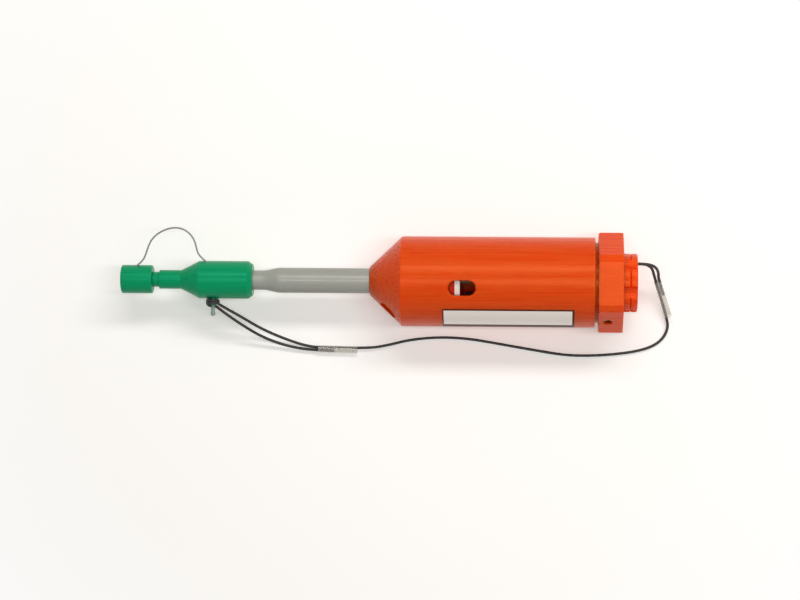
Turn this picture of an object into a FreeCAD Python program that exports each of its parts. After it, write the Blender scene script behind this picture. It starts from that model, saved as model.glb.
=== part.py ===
"""Push-type cleaning pen for fibre connectors, lying on a table.

The pen's axis runs along X, from the dust cap (-X) to the scalloped refill plug (+X). Z is up and Z = 0 is
the table. The pen rests on its round body and on one flat of the hexagonal end cap. Sizes are millimetres.

Turned pieces are drawn along the pen's axis, with X measured from the dust cap's closed end. Their
placement then moves them so that the pen's middle is over the origin.
"""

import FreeCAD, Part
import math
import os
import re
import Sketcher
from FreeCAD import Placement, Rotation, Vector

doc = FreeCAD.newDocument("CleaningPen")
AXIS_X = Vector(1, 0, 0)
AXIS_Y = Vector(0, 1, 0)
AXIS_Z = Vector(0, 0, 1)
TINY = 0.001

# ---------------------------------------------------------------- driving sizes

SIZES = {
    "Dust cap": {
        "dust_cap_length": 10.5,
        "dust_cap_radius": 4.75,
        "dust_cap_end_wall": 3.2,
        "dust_cap_edge": 0.6,
        "cap_fit": 0.05,
    },
    "Guide cap": {
        "spigot_radius": 2.5,
        "spigot_end_room": 0.6,
        "spigot_shown": 2.3,
        "barrel_radius": 3.15,
        "barrel_length": 7.2,
        "guide_cone_length": 6.2,
        "guide_radius": 6.3,
        "guide_body_length": 16.4,
        "guide_chamfer_length": 1.5,
        "guide_chamfer_drop": 1.1,
        "ferrule_bore_radius": 1.26,
        "ferrule_sleeve_wall": 0.6,
        "ferrule_sleeve_length": 8.4,
    },
    "Lanyard post and tether anchor": {
        "post_radius": 1.35,
        "post_length": 2.1,
        "post_from_guide_end": 13.4,
        "anchor_radius": 0.65,
        "anchor_length": 2.9,
        "anchor_bulb_radius": 0.85,
    },
    "Nozzle": {
        "neck_radius": 3.25,
        "neck_inside_cap": 10.5,
        "neck_shown": 4.2,
        "flare_length": 4.3,
        "flare_blend": 8.0,
        "nozzle_radius": 4.2,
        "nozzle_shown": 30.7,
        "nozzle_bore_radius": 1.6,
        "tip_radius": 1.2,
        "tip_wall": 0.25,
        "tip_running_gap": 0.3,
        "tip_socket_depth": 6.5,
        "flange_radius": 6.3,
        "flange_thickness": 2.0,
        "nozzle_tail_radius": 3.4,
        "nozzle_tail_length": 5.5,
    },
    "Cleaning head and thread": {
        "head_nose_radius": 0.55,
        "head_shank_length": 6.0,
        "head_behind_sleeve": 0.05,
        "head_shown": 1.6,
        "thread_radius": 0.15,
        "thread_gap": 0.03,
        "thread_guide_radius": 60.0,
    },
    "Housing": {
        "nose_face_radius": 4.75,
        "nose_cone_length": 10.8,
        "body_radius": 15.0,
        "body_length": 64.0,
        "body_wall": 2.0,
        "cone_wall": 3.1,
        "nose_lip": 2.0,
        "housing_edge": 0.4,
        "bush_radius": 6.0,
        "bush_length": 5.0,
        "slide_fit": 0.08,
    },
    "Window, port and label": {
        "window_length": 9.0,
        "window_width": 5.2,
        "window_bevel": 0.5,
        "window_past_ring": 1.55,
        "window_roll_deg": 7.8,
        "port_length": 7.0,
        "port_width": 5.2,
        "port_from_nose": 6.2,
        "port_roll_deg": 67.0,
        "label_length": 43.4,
        "label_width": 12.6,
        "label_thickness": 0.15,
        "label_corner": 0.8,
        "label_from_nose": 24.6,
        "label_roll_deg": 61.3,
    },
    "End cap": {
        "spigot_fit": 0.1,
        "cap_spigot_length": 7.0,
        "cap_spigot_wall": 1.9,
        "cap_groove_width": 1.1,
        "cap_groove_depth": 1.7,
        "hex_length": 8.2,
        "hex_corner_radius": 16.6,
        "hex_corner_round": 1.8,
        "hex_lead_chamfer": 0.4,
        "hex_end_edge": 0.3,
        "cap_floor": 4.3,
        "set_screw_radius": 1.5,
        "set_screw_length": 3.0,
        "set_screw_recess": 0.9,
        "set_screw_socket_radius": 0.8,
        "set_screw_socket_depth": 1.5,
        "set_screw_roll_deg": 60.0,
        "spring_seat_thickness": 1.6,
        "spring_seat_width": 3.1,
        "seat_fit": 0.05,
    },
    "Refill plug": {
        "knob_gap": 0.1,
        "knob_length": 4.6,
        "knob_radius": 9.7,
        "knob_flutes": 6,
        "flute_radius": 2.6,
        "flute_depth": 1.3,
        "flute_roll_deg": 19.0,
        "knob_groove_depth": 0.35,
        "knob_edge": 0.4,
        "plug_fit": 0.08,
        "lug_gap": 0.15,
        "bayonet_thickness": 1.2,
        "bayonet_reach": 1.3,
        "bayonet_width": 5.0,
        "bayonet_gap": 0.25,
        "seal_radius": 0.6,
        "seal_squeeze": 0.04,
    },
    "Carriage": {
        "push_stroke": 5.0,
        "carriage_fit": 0.3,
        "collar_radius": 5.5,
        "collar_length": 4.0,
        "disc_length": 7.5,
        "ring_width": 1.7,
        "ring_seat_drop": 1.1,
        "ring_proud": 0.1,
        "disc_bore_radius": 9.0,
        "cheek_gap": 0.5,
        "cheek_thickness": 1.5,
        "cheek_root": 2.0,
        "rear_plate_thickness": 2.0,
        "rear_plate_hole": 3.0,
    },
    "Reels and drive": {
        "reel_radius": 8.0,
        "reel_width": 8.4,
        "reel_flange": 0.8,
        "reel_hub_radius": 2.5,
        "reel_gap": 1.5,
        "rear_reel_gap": 0.5,
        "axle_radius": 1.5,
        "axle_fit": 0.05,
        "fresh_winding_radius": 6.5,
        "used_winding_radius": 3.2,
        "gear_module": 0.6,
        "pinion_teeth": 10,
        "pressure_angle_deg": 25.0,
        "tooth_addendum": 0.5,
        "tooth_root_gap": 0.15,
        "tooth_backlash": 0.12,
        "pinion_width": 2.0,
        "drive_side_gap": 0.3,
        "rack_overhang": 0.1,
        "rack_front_reach": 3.5,
        "rack_rear_reach": 6.0,
        "ratchet_teeth": 12,
        "ratchet_radius": 4.4,
        "ratchet_tooth_depth": 0.8,
        "ratchet_width": 1.2,
        "pawl_thickness": 0.5,
        "pawl_reach": 6.4,
        "pawl_post_radius": 1.0,
    },
    "Return spring": {
        "spring_wire_radius": 0.55,
        "spring_live_turns": 2.1,
        "spring_flat_turns": 0.7,
    },
    "Strap and tether": {
        "cord_radius": 0.5,
        "cord_lane_gap": 0.03,
        "cord_tuck": 5.3,
        "sleeve_fit": 0.06,
        "sleeve_wall": 0.15,
        "sleeve_length": 13.2,
        "lanyard_hole_fit": 0.27,
        "lanyard_hole_offset": 6.3,
        "lanyard_hole_spacing": 3.1,
        "lanyard_hole_depth": 1.0,
        "hitch_fit": 0.07,
        "hitch_pitch": 0.86,
        "tether_radius": 0.22,
        "tether_hole_fit": 0.08,
        "tether_hole_run": 4.0,
    },
}

sheet = doc.addObject("Spreadsheet::Sheet", "Sizes")
row = 1
for group, entries in SIZES.items():
    sheet.set(f"A{row}", group)
    row += 1
    for alias, number in entries.items():
        sheet.set(f"A{row}", alias)
        sheet.set(f"B{row}", str(number))
        sheet.setAlias(f"B{row}", alias)
        row += 1
doc.recompute()


# ---------------------------------------------------------------- helpers


def bound(expression):
    """An expression with each alias written as the sheet's own."""
    return re.sub(r"[a-z]\w*", lambda word: "Sizes." + word.group(0), expression)


def size(expression):
    """The value of an expression of aliases."""
    return float(sheet.evalExpression(bound(expression)))


# Stations along the pen, each from the one before it. They are expressions, so a sketch can be bound to them.
SPIGOT_TIP = "dust_cap_end_wall + spigot_end_room"
BARREL_START = "dust_cap_length + spigot_shown"
GUIDE_CONE_START = f"{BARREL_START} + barrel_length"
GUIDE_BODY_START = f"{GUIDE_CONE_START} + guide_cone_length"
GUIDE_CHAMFER_START = f"{GUIDE_BODY_START} + guide_body_length"
GUIDE_END = f"{GUIDE_CHAMFER_START} + guide_chamfer_length"
NECK_TIP = f"{GUIDE_END} - neck_inside_cap"
FLARE_START = f"{GUIDE_END} + neck_shown"
FLARE_END = f"{FLARE_START} + flare_length"
NOSE_FACE = f"{FLARE_END} + nozzle_shown"
BODY_START = f"{NOSE_FACE} + nose_cone_length"
BODY_END = f"{BODY_START} + body_length"
HEX_START = f"{BODY_END} + cap_groove_width"
HEX_END = f"{HEX_START} + hex_length"
KNOB_START = f"{HEX_END} + knob_gap"
PEN_END = f"{KNOB_START} + knob_length"
BUSH_START = f"{NOSE_FACE} + nose_lip"
FLANGE_START = f"{BUSH_START} + bush_length + carriage_fit"
COLLAR_START = f"{FLANGE_START} + flange_thickness"
FUNNEL_START = f"{COLLAR_START} + collar_length"
CAP_SPIGOT_START = f"{BODY_END} - cap_spigot_length"
REAR_PLATE_START = f"{CAP_SPIGOT_START} - rear_plate_thickness"
SUPPLY_CENTRE = f"{REAR_PLATE_START} - rear_reel_gap - reel_radius"
TAKE_UP_CENTRE = f"{SUPPLY_CENTRE} - 2 * reel_radius - reel_gap"
DISC_END = f"{TAKE_UP_CENTRE} - reel_radius - reel_gap"
DISC_START = f"{DISC_END} - disc_length"
RING_START = f"{DISC_END} - ring_width"
CAP_FLOOR_START = f"{HEX_END} - cap_floor"
SPRING_SEAT_START = f"{CAP_FLOOR_START} - spring_seat_thickness"
SLEEVE_END = f"{SPIGOT_TIP} + ferrule_sleeve_length"
THREAD_NOSE = f"{SLEEVE_END} + head_behind_sleeve"
HEAD_TIP = f"{THREAD_NOSE} + 2 * thread_radius + thread_gap + head_nose_radius"
TIP_START = f"{HEAD_TIP} + head_shown"

CAVITY_RADIUS = "(body_radius - body_wall)"
CARRIAGE_RADIUS = f"({CAVITY_RADIUS} - carriage_fit)"
CAP_BORE_RADIUS = f"({CAVITY_RADIUS} - spigot_fit - cap_spigot_wall)"
NOSE_BORE_RADIUS = "(nozzle_radius + slide_fit)"
TIP_BORE_RADIUS = "(tip_radius - tip_wall)"
CONE_SLOPE = "((body_radius - nose_face_radius) / nose_cone_length)"
RING_SEAT_RADIUS = f"({CARRIAGE_RADIUS} - ring_seat_drop)"
REAR_PLATE_RADIUS = f"({CAP_BORE_RADIUS} - carriage_fit)"
SEAT_RADIUS = f"({CAP_BORE_RADIUS} - seat_fit)"
SEAT_BORE_RADIUS = f"({SEAT_RADIUS} - spring_seat_width)"
LUG_RADIUS = f"({SEAT_BORE_RADIUS} - lug_gap)"
SHANK_RADIUS = f"({LUG_RADIUS} - bayonet_reach)"
SLEEVE_BORE_RADIUS = "(2 * cord_radius + cord_lane_gap + sleeve_fit)"
CHEEK_INNER = "(reel_width / 2 + cheek_gap)"
CHEEK_OUTER = f"({CHEEK_INNER} + cheek_thickness)"
DRIVE_SIDE = f"({CHEEK_OUTER} + drive_side_gap)"

PITCH_RADIUS = size("gear_module * pinion_teeth / 2")
AXIS_HEIGHT = size("body_radius")
HALF_PEN = size(PEN_END) / 2


def on_axis(piece):
    """Moves a piece drawn along the pen's axis to its place over the table."""
    piece.setExpression("Placement.Base.x", "-(" + bound(PEN_END) + ") / 2")
    piece.setExpression("Placement.Base.z", "Sizes.body_radius")
    return piece


def at_station(station, y=0.0, z=0.0):
    """A point given by its station and its distance from the pen's axis, over the table."""
    return Vector(station - HALF_PEN, y, AXIS_HEIGHT + z)


def turned_body(name, outline):
    """A body turned about the X axis from (station, radius) expressions. A radius of "0" lies on the axis."""
    body = doc.addObject("PartDesign::Body", name)
    plane = next(o for o in body.Origin.OriginFeatures if o.Role == "XY_Plane")
    sketch = body.newObject("Sketcher::SketchObject", name + "_profile")
    sketch.AttachmentSupport = [(plane, "")]
    sketch.MapMode = "FlatFace"
    points = [Vector(size(x), size(r), 0) for x, r in outline]
    for k, start in enumerate(points):
        end = points[(k + 1) % len(points)]
        sketch.addGeometry(Part.LineSegment(start, end), False)
    for k, (x, r) in enumerate(outline):
        after = (k + 1) % len(outline)
        sketch.addConstraint(Sketcher.Constraint("Coincident", k, 2, after, 1))
        for kind, expression, line in (("DistanceX", x, -2), ("DistanceY", r, -1)):
            if expression == "0":
                sketch.addConstraint(Sketcher.Constraint("PointOnObject", k, 1, line))
                continue
            value = size(expression)
            number = sketch.addConstraint(Sketcher.Constraint(kind, -1, 1, k, 1, value))
            sketch.setExpression(f"Constraints[{number}]", bound(expression))
    turn = body.newObject("PartDesign::Revolution", name + "_turn")
    turn.Profile = sketch
    turn.ReferenceAxis = (sketch, ["H_Axis"])
    turn.Angle = 360
    sketch.Visibility = False
    doc.recompute()
    return body


def rounded(body, rings, radius, kind="Fillet"):
    """Fillets or chamfers the circles of a turned body at (station, radius) expressions."""
    base = body.Tip
    names = []
    for x, r in rings:
        centre = Vector(size(x), 0, 0)
        for number, edge in enumerate(base.Shape.Edges, 1):
            curve = edge.Curve
            if not isinstance(curve, Part.Circle):
                continue
            if curve.Center.distanceToPoint(centre) < TINY and abs(curve.Radius - size(r)) < TINY:
                names.append(f"Edge{number}")
    feature = body.newObject("PartDesign::" + kind, f"{body.Name}_{kind.lower()}_{len(body.Group)}")
    feature.Base = (base, sorted(set(names)))
    feature.setExpression("Radius" if kind == "Fillet" else "Size", bound(radius))
    doc.recompute()
    return body


def edges_rounded(name, base, start, end, radius):
    """Fillets the edges of a piece that run from one station to another, or lie in one plane."""
    doc.recompute()
    picked = []
    for number, edge in enumerate(base.Shape.Edges, 1):
        reach = edge.BoundBox
        if abs(reach.XMin - size(start)) < TINY and abs(reach.XMax - size(end)) < TINY:
            picked.append((number, size(radius), size(radius)))
    fillet = doc.addObject("Part::Fillet", name)
    fillet.Base = base
    fillet.Edges = picked
    doc.recompute()
    return fillet


def cylinder(name, radius, height, direction=AXIS_X, base=Vector(0, 0, 0)):
    """A cylinder bound to the sheet, along a direction from a base point."""
    piece = doc.addObject("Part::Cylinder", name)
    piece.setExpression("Radius", bound(radius))
    piece.setExpression("Height", bound(height))
    piece.Placement = Placement(base, Rotation(AXIS_Z, direction))
    return piece


def box(name, length, width, height, base):
    """A box bound to the sheet, with its lowest corner at a base point."""
    piece = doc.addObject("Part::Box", name)
    piece.setExpression("Length", bound(length))
    piece.setExpression("Width", bound(width))
    piece.setExpression("Height", bound(height))
    piece.Placement.Base = base
    return piece


def joined(kind, name, pieces):
    """A boolean of several pieces: Cut takes the later ones from the first."""
    if kind == "Cut" and len(pieces) > 2:
        tools = doc.addObject("Part::MultiFuse", name + "_tools")
        tools.Shapes = pieces[1:]
        pieces = [pieces[0], tools]
    if kind == "Cut":
        result = doc.addObject("Part::Cut", name)
        result.Base = pieces[0]
        result.Tool = pieces[1]
    else:
        result = doc.addObject("Part::Multi" + kind, name)
        result.Shapes = pieces
    doc.recompute()
    return result


def coded(name, shape):
    """A piece whose shape is worked out by Part's own functions."""
    piece = doc.addObject("Part::Feature", name)
    piece.Shape = shape
    return piece


def obround(name, length, width, depth, bevel=0.0):
    """An obround cutter along X about the origin, reaching down -Z from Z = 0, with its mouth bevelled."""
    half_run = (length - width) / 2

    def loop(radius, z):
        ends = [Vector(-half_run, radius, z), Vector(half_run, radius, z)]
        back = [Vector(half_run, -radius, z), Vector(-half_run, -radius, z)]
        return Part.Wire([
            Part.makeLine(*ends),
            Part.Arc(ends[1], Vector(half_run + radius, 0, z), back[0]).toShape(),
            Part.makeLine(*back),
            Part.Arc(back[1], Vector(-half_run - radius, 0, z), ends[0]).toShape(),
        ])

    solid = Part.Face(loop(width / 2, -depth)).extrude(Vector(0, 0, 2 * depth))
    if bevel:
        proud = 4 * bevel
        mouth = [loop(width / 2, -bevel), loop(width / 2 + bevel + proud, proud)]
        solid = solid.fuse(Part.makeLoft(mouth, True, True))
    return coded(name, solid)


def axle_hole(name, station, radius):
    """A cutter for an axle hole through both cheeks."""
    base = Vector(size(station), -size(CHEEK_OUTER), 0)
    return cylinder(name, radius, f"2 * {CHEEK_OUTER}", AXIS_Y, base)


# ---------------------------------------------------------------- dust cap and guide cap


def socket_cutter(name, end, towards):
    """A blind hole for a tether's end: it starts inside the wall and runs out along the tether."""
    direction = (towards - end).normalize()
    base = Vector(end.x + HALF_PEN, end.y, end.z - AXIS_HEIGHT)
    return cylinder(name, "tether_radius + tether_hole_fit", "tether_hole_run", direction, base)


# The tether is a stiff filament bowed out beside the caps at this height over the table.
TETHER_HEIGHT = AXIS_HEIGHT + 1.8
TETHER_ROUTE = [
    Vector(x, y, TETHER_HEIGHT)
    for x, y in [
        (-82.0, 3.5), (-80.0, 5.1), (-78.4, 6.8), (-77.5, 9.2), (-76.7, 11.7), (-75.4, 13.9),
        (-73.1, 15.8), (-70.3, 17.0), (-67.6, 17.4), (-65.0, 16.8), (-62.8, 15.2), (-61.4, 13.0),
        (-60.8, 10.6), (-60.2, 8.6), (-58.5, 6.8), (-56.4, 5.2),
    ]
]


def make_dust_cap():
    """A moulded cup that pushes over the guide cap's spigot."""
    body = turned_body("dust_cap_cup", [
        ("0", "0"),
        ("0", "dust_cap_radius"),
        ("dust_cap_length", "dust_cap_radius"),
        ("dust_cap_length", "spigot_radius + cap_fit"),
        ("dust_cap_end_wall", "spigot_radius + cap_fit"),
        ("dust_cap_end_wall", "0"),
    ])
    rings = [("0", "dust_cap_radius"), ("dust_cap_length", "dust_cap_radius")]
    rounded(body, rings, "dust_cap_edge")
    socket = socket_cutter("dust_cap_socket", TETHER_ROUTE[0], TETHER_ROUTE[1])
    return on_axis(joined("Cut", "dust_cap", [body, socket]))


def make_ferrule_sleeve():
    """The liner in the guide cap's tip that takes a connector's ferrule."""
    outer = "ferrule_bore_radius + ferrule_sleeve_wall"
    return on_axis(turned_body("ferrule_sleeve", [
        (SPIGOT_TIP, "ferrule_bore_radius"),
        (SPIGOT_TIP, outer),
        (SLEEVE_END, outer),
        (SLEEVE_END, "ferrule_bore_radius"),
    ]))


def make_guide_cap():
    """The green guide: spigot and barrel for a plug's ferrule, a cone, and a body over the nozzle's neck."""
    sleeve = "ferrule_bore_radius + ferrule_sleeve_wall"
    tip_bore = "tip_radius + tip_running_gap"
    neck_bore = "neck_radius + cap_fit"
    rear = "guide_radius - guide_chamfer_drop"
    body = turned_body("guide_cap_turned", [
        (SPIGOT_TIP, sleeve),
        (SPIGOT_TIP, "spigot_radius"),
        (BARREL_START, "spigot_radius"),
        (BARREL_START, "barrel_radius"),
        (GUIDE_CONE_START, "barrel_radius"),
        (GUIDE_BODY_START, "guide_radius"),
        (GUIDE_CHAMFER_START, "guide_radius"),
        (GUIDE_END, rear),
        (GUIDE_END, neck_bore),
        (f"{NECK_TIP} - cap_fit", neck_bore),
        (f"{NECK_TIP} - cap_fit", tip_bore),
        (SLEEVE_END, tip_bore),
        (SLEEVE_END, sleeve),
    ])
    rounded(body, [(GUIDE_BODY_START, "guide_radius")], "dust_cap_edge")
    post_station = size(f"{GUIDE_END} - post_from_guide_end")
    root = size("guide_radius - cap_fit") - size("guide_chamfer_drop")
    post = cylinder("lanyard_post", "post_radius", "post_length + guide_chamfer_drop + cap_fit",
                    -AXIS_Y, Vector(post_station, -root, 0))
    socket = socket_cutter("guide_cap_socket", TETHER_ROUTE[-1], TETHER_ROUTE[-2])
    return on_axis(joined("Cut", "guide_cap", [joined("Fuse", "guide_cap_posted", [body, post]), socket]))


def make_tether_anchor():
    """The clear stub with a melted bulb that stands out of the lanyard post."""
    station = size(f"{GUIDE_END} - post_from_guide_end")
    post_end = size("guide_radius + post_length")
    length = size("anchor_length")
    stub = cylinder("anchor_stub", "anchor_radius", "anchor_length", -AXIS_Y, Vector(station, -post_end, 0))
    bulb = doc.addObject("Part::Sphere", "anchor_bulb")
    bulb.setExpression("Radius", "Sizes.anchor_bulb_radius")
    bulb.Placement.Base = Vector(station, -post_end - length, 0)
    return on_axis(joined("Fuse", "tether_anchor", [stub, bulb]))


# ---------------------------------------------------------------- nozzle, tip and cleaning head


def make_nozzle():
    """The grey nozzle: neck, smooth flare, straight barrel, and the flange and tail inside the housing."""
    tail_end = f"{COLLAR_START} + nozzle_tail_length"
    body = turned_body("nozzle", [
        (NECK_TIP, "tip_radius"),
        (NECK_TIP, "neck_radius"),
        (FLARE_START, "neck_radius"),
        (FLARE_END, "nozzle_radius"),
        (FLANGE_START, "nozzle_radius"),
        (FLANGE_START, "flange_radius"),
        (COLLAR_START, "flange_radius"),
        (COLLAR_START, "nozzle_tail_radius"),
        (tail_end, "nozzle_tail_radius"),
        (tail_end, "nozzle_bore_radius"),
        (f"{NECK_TIP} + tip_socket_depth", "nozzle_bore_radius"),
        (f"{NECK_TIP} + tip_socket_depth", "tip_radius"),
    ])
    rounded(body, [(FLARE_START, "neck_radius"), (FLARE_END, "nozzle_radius")], "flare_blend")
    return on_axis(body)


def make_nozzle_tip():
    """The thin tube that enters an adapter and carries the cleaning head."""
    end = f"{NECK_TIP} + tip_socket_depth"
    return on_axis(turned_body("nozzle_tip", [
        (TIP_START, TIP_BORE_RADIUS),
        (TIP_START, "tip_radius"),
        (end, "tip_radius"),
        (end, TIP_BORE_RADIUS),
    ]))


def make_cleaning_head():
    """A blade with a round nose: the thread runs over its nose, between its two cheeks' edges."""
    nose = size("head_nose_radius")
    start = size(HEAD_TIP)
    blade_end = size(TIP_START) + size("head_shank_length")
    half_width = size(TIP_BORE_RADIUS)
    block = Part.makeBox(blade_end - start, 2 * half_width, 2 * nose, Vector(start, -half_width, -nose))
    nose_bar = Part.makeCylinder(nose, 2 * half_width, Vector(start, -half_width, 0), AXIS_Y)
    round_limit = Part.makeCylinder(half_width, blade_end, Vector(0, 0, 0), AXIS_X)
    return on_axis(coded("cleaning_head", block.fuse(nose_bar).removeSplitter().common(round_limit)))


# ---------------------------------------------------------------- cords and thread


def arc_route(name, points, radius_limit=None):
    """A wire of straight runs and tangent arcs through the points, each arc as large as its runs allow."""
    edges = []
    start = points[0]
    radii = []
    for before, corner, after in zip(points, points[1:], points[2:]):
        back = before - corner
        ahead = after - corner
        turn = math.pi - back.getAngle(ahead)
        tangent = 0.45 * min(back.Length, ahead.Length)
        radius = tangent / math.tan(turn / 2)
        if radius_limit and radius > radius_limit:
            radius = radius_limit
            tangent = radius * math.tan(turn / 2)
        arc_start = corner + back.normalize() * tangent
        arc_end = corner + ahead.normalize() * tangent
        bisector = (back + ahead).normalize()
        arc_middle = corner + bisector * (radius / math.cos(turn / 2) - radius)
        edges.append(Part.makeLine(start, arc_start))
        edges.append(Part.Arc(arc_start, arc_middle, arc_end).toShape())
        radii.append(round(radius, 2))
        start = arc_end
    edges.append(Part.makeLine(start, points[-1]))
    print(name, "arc radii", radii)
    return Part.Wire(edges)


def tube(wire, radius, name):
    """A round tube along a wire, checked against its section times its length."""
    start = wire.Edges[0]
    direction = start.tangentAt(start.FirstParameter)
    section = Part.Wire(Part.makeCircle(radius, start.valueAt(start.FirstParameter), direction))
    shape = wire.makePipeShell([section], True, False)
    expected = math.pi * radius ** 2 * wire.Length
    print(name, "length", round(wire.Length, 2), "volume over section times length",
          round(shape.Volume / expected, 4))
    return shape


def cord(name, points, radius):
    """A round cord or wire along a route."""
    return coded(name, tube(arc_route(name, points), radius, name))


def make_thread():
    """The cleaning thread: from the fresh winding, over the head's nose and back to the used winding."""
    radius = size("thread_radius")
    lane = size("head_nose_radius + thread_gap") + radius
    turn_station = size(COLLAR_START)
    head = size(HEAD_TIP)

    def winding_tangent(centre, winding, side):
        """Where a line from the thread's lane touches a winding, above (+1) or below (-1) its centre."""
        reach = winding + radius + size("thread_gap")
        run = centre - turn_station
        distance = math.hypot(run, lane)
        lift = math.atan2(lane, run) - math.asin(reach / distance)
        along = math.sqrt(distance ** 2 - reach ** 2)
        return Vector(turn_station + along * math.cos(lift), 0, side * (lane - along * math.sin(lift)))

    used = winding_tangent(size(TAKE_UP_CENTRE), size("used_winding_radius"), 1)
    fresh = winding_tangent(size(SUPPLY_CENTRE), size("fresh_winding_radius"), -1)
    top = [used, Vector(turn_station, 0, lane), Vector(head, 0, lane)]
    bottom = [Vector(head, 0, -lane), Vector(turn_station, 0, -lane), fresh]
    over_nose = Part.Arc(top[2], Vector(head - lane, 0, 0), bottom[0]).toShape()
    guide = size("thread_guide_radius")
    edges = arc_route("thread, used side", top, guide).Edges + [over_nose]
    edges += arc_route("thread, fresh side", bottom, guide).Edges
    return on_axis(coded("cleaning_thread", tube(Part.Wire(edges), radius, "cleaning_thread")))


# ---------------------------------------------------------------- housing


def surface_cutter(cutter, station, radius, roll_deg, lean_deg=0.0):
    """Puts a cutter's mouth on the housing's skin, rolled from the top towards -Y and leaning to the nose."""
    roll = Rotation(AXIS_X, roll_deg)
    lean = Rotation(AXIS_Y, -lean_deg)
    out = roll.multVec(AXIS_Z)
    cutter.Placement = Placement(Vector(station, 0, 0) + out * radius, roll.multiply(lean))
    return cutter


def make_housing():
    """The orange shell: a coned nose, a plain tube, the index window and the oblong port in the cone."""
    cone_bore_start = f"{NOSE_FACE} + (bush_radius + cone_wall - nose_face_radius) / {CONE_SLOPE}"
    cavity_start = f"{NOSE_FACE} + ({CAVITY_RADIUS} + cone_wall - nose_face_radius) / {CONE_SLOPE}"
    body = turned_body("housing_shell", [
        (NOSE_FACE, NOSE_BORE_RADIUS),
        (NOSE_FACE, "nose_face_radius"),
        (BODY_START, "body_radius"),
        (BODY_END, "body_radius"),
        (BODY_END, CAVITY_RADIUS),
        (cavity_start, CAVITY_RADIUS),
        (cone_bore_start, "bush_radius"),
        (BUSH_START, "bush_radius"),
        (BUSH_START, NOSE_BORE_RADIUS),
    ])
    rings = [
        (NOSE_FACE, "nose_face_radius"),
        (BODY_START, "body_radius"),
        (BODY_END, "body_radius"),
    ]
    rounded(body, rings, "housing_edge")
    window = obround("window_cutter", size("window_length"), size("window_width"),
                     2 * size("body_wall"), size("window_bevel"))
    window_centre = size(f"{RING_START} + ring_width / 2 + window_past_ring")
    surface_cutter(window, window_centre, size("body_radius"), size("window_roll_deg"))
    port = obround("port_cutter", size("port_length"), size("port_width"), 2 * size("cone_wall"))
    port_radius = size(f"nose_face_radius + port_from_nose * {CONE_SLOPE}")
    lean = math.degrees(math.atan(size(CONE_SLOPE)))
    surface_cutter(port, size(f"{NOSE_FACE} + port_from_nose"), port_radius, size("port_roll_deg"), lean)
    return on_axis(joined("Cut", "housing", [body, window, port]))


def make_nose_bush():
    """The plain bearing that guides the nozzle in the housing's nose."""
    end = f"{BUSH_START} + bush_length"
    return on_axis(turned_body("nose_bush", [
        (BUSH_START, NOSE_BORE_RADIUS),
        (BUSH_START, "bush_radius"),
        (end, "bush_radius"),
        (end, NOSE_BORE_RADIUS),
    ]))


def make_label():
    """A thin blank plate bent round the housing's side, with its corners cut round."""
    radius = size("body_radius")
    skin = size("label_thickness")
    length = size("label_length")
    width = size("label_width")
    corner = size("label_corner")
    start = size(f"{NOSE_FACE} + label_from_nose")
    ring = Part.makeCylinder(radius + skin, length, Vector(start, 0, 0), AXIS_X)
    ring = ring.cut(Part.makeCylinder(radius, length, Vector(start, 0, 0), AXIS_X))
    patch = Part.makeBox(length, width, 2 * radius, Vector(start, -width / 2, 0))
    uprights = [e for e in patch.Edges if abs(e.tangentAt(0).z) > 0.99]
    patch = patch.makeFillet(corner, uprights)
    patch.rotate(Vector(0, 0, 0), AXIS_X, size("label_roll_deg"))
    return on_axis(coded("label_plate", ring.common(patch)))


# ---------------------------------------------------------------- end cap and refill plug


def bayonet_bar(name, radius, width, thickness, station, along):
    """A bar across the axis with round ends: the plug's lugs, or the slots that let them in."""
    disc = cylinder(name + "_disc", radius, thickness, AXIS_X, Vector(size(station), 0, 0))
    length = f"2 * ({radius})"
    across = (width, length) if along == AXIS_Z else (length, width)
    base = Vector(size(station), -size(across[0]) / 2, -size(across[1]) / 2)
    bar = box(name + "_block", thickness, across[0], across[1], base)
    return joined("Common", name, [disc, bar])


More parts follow.
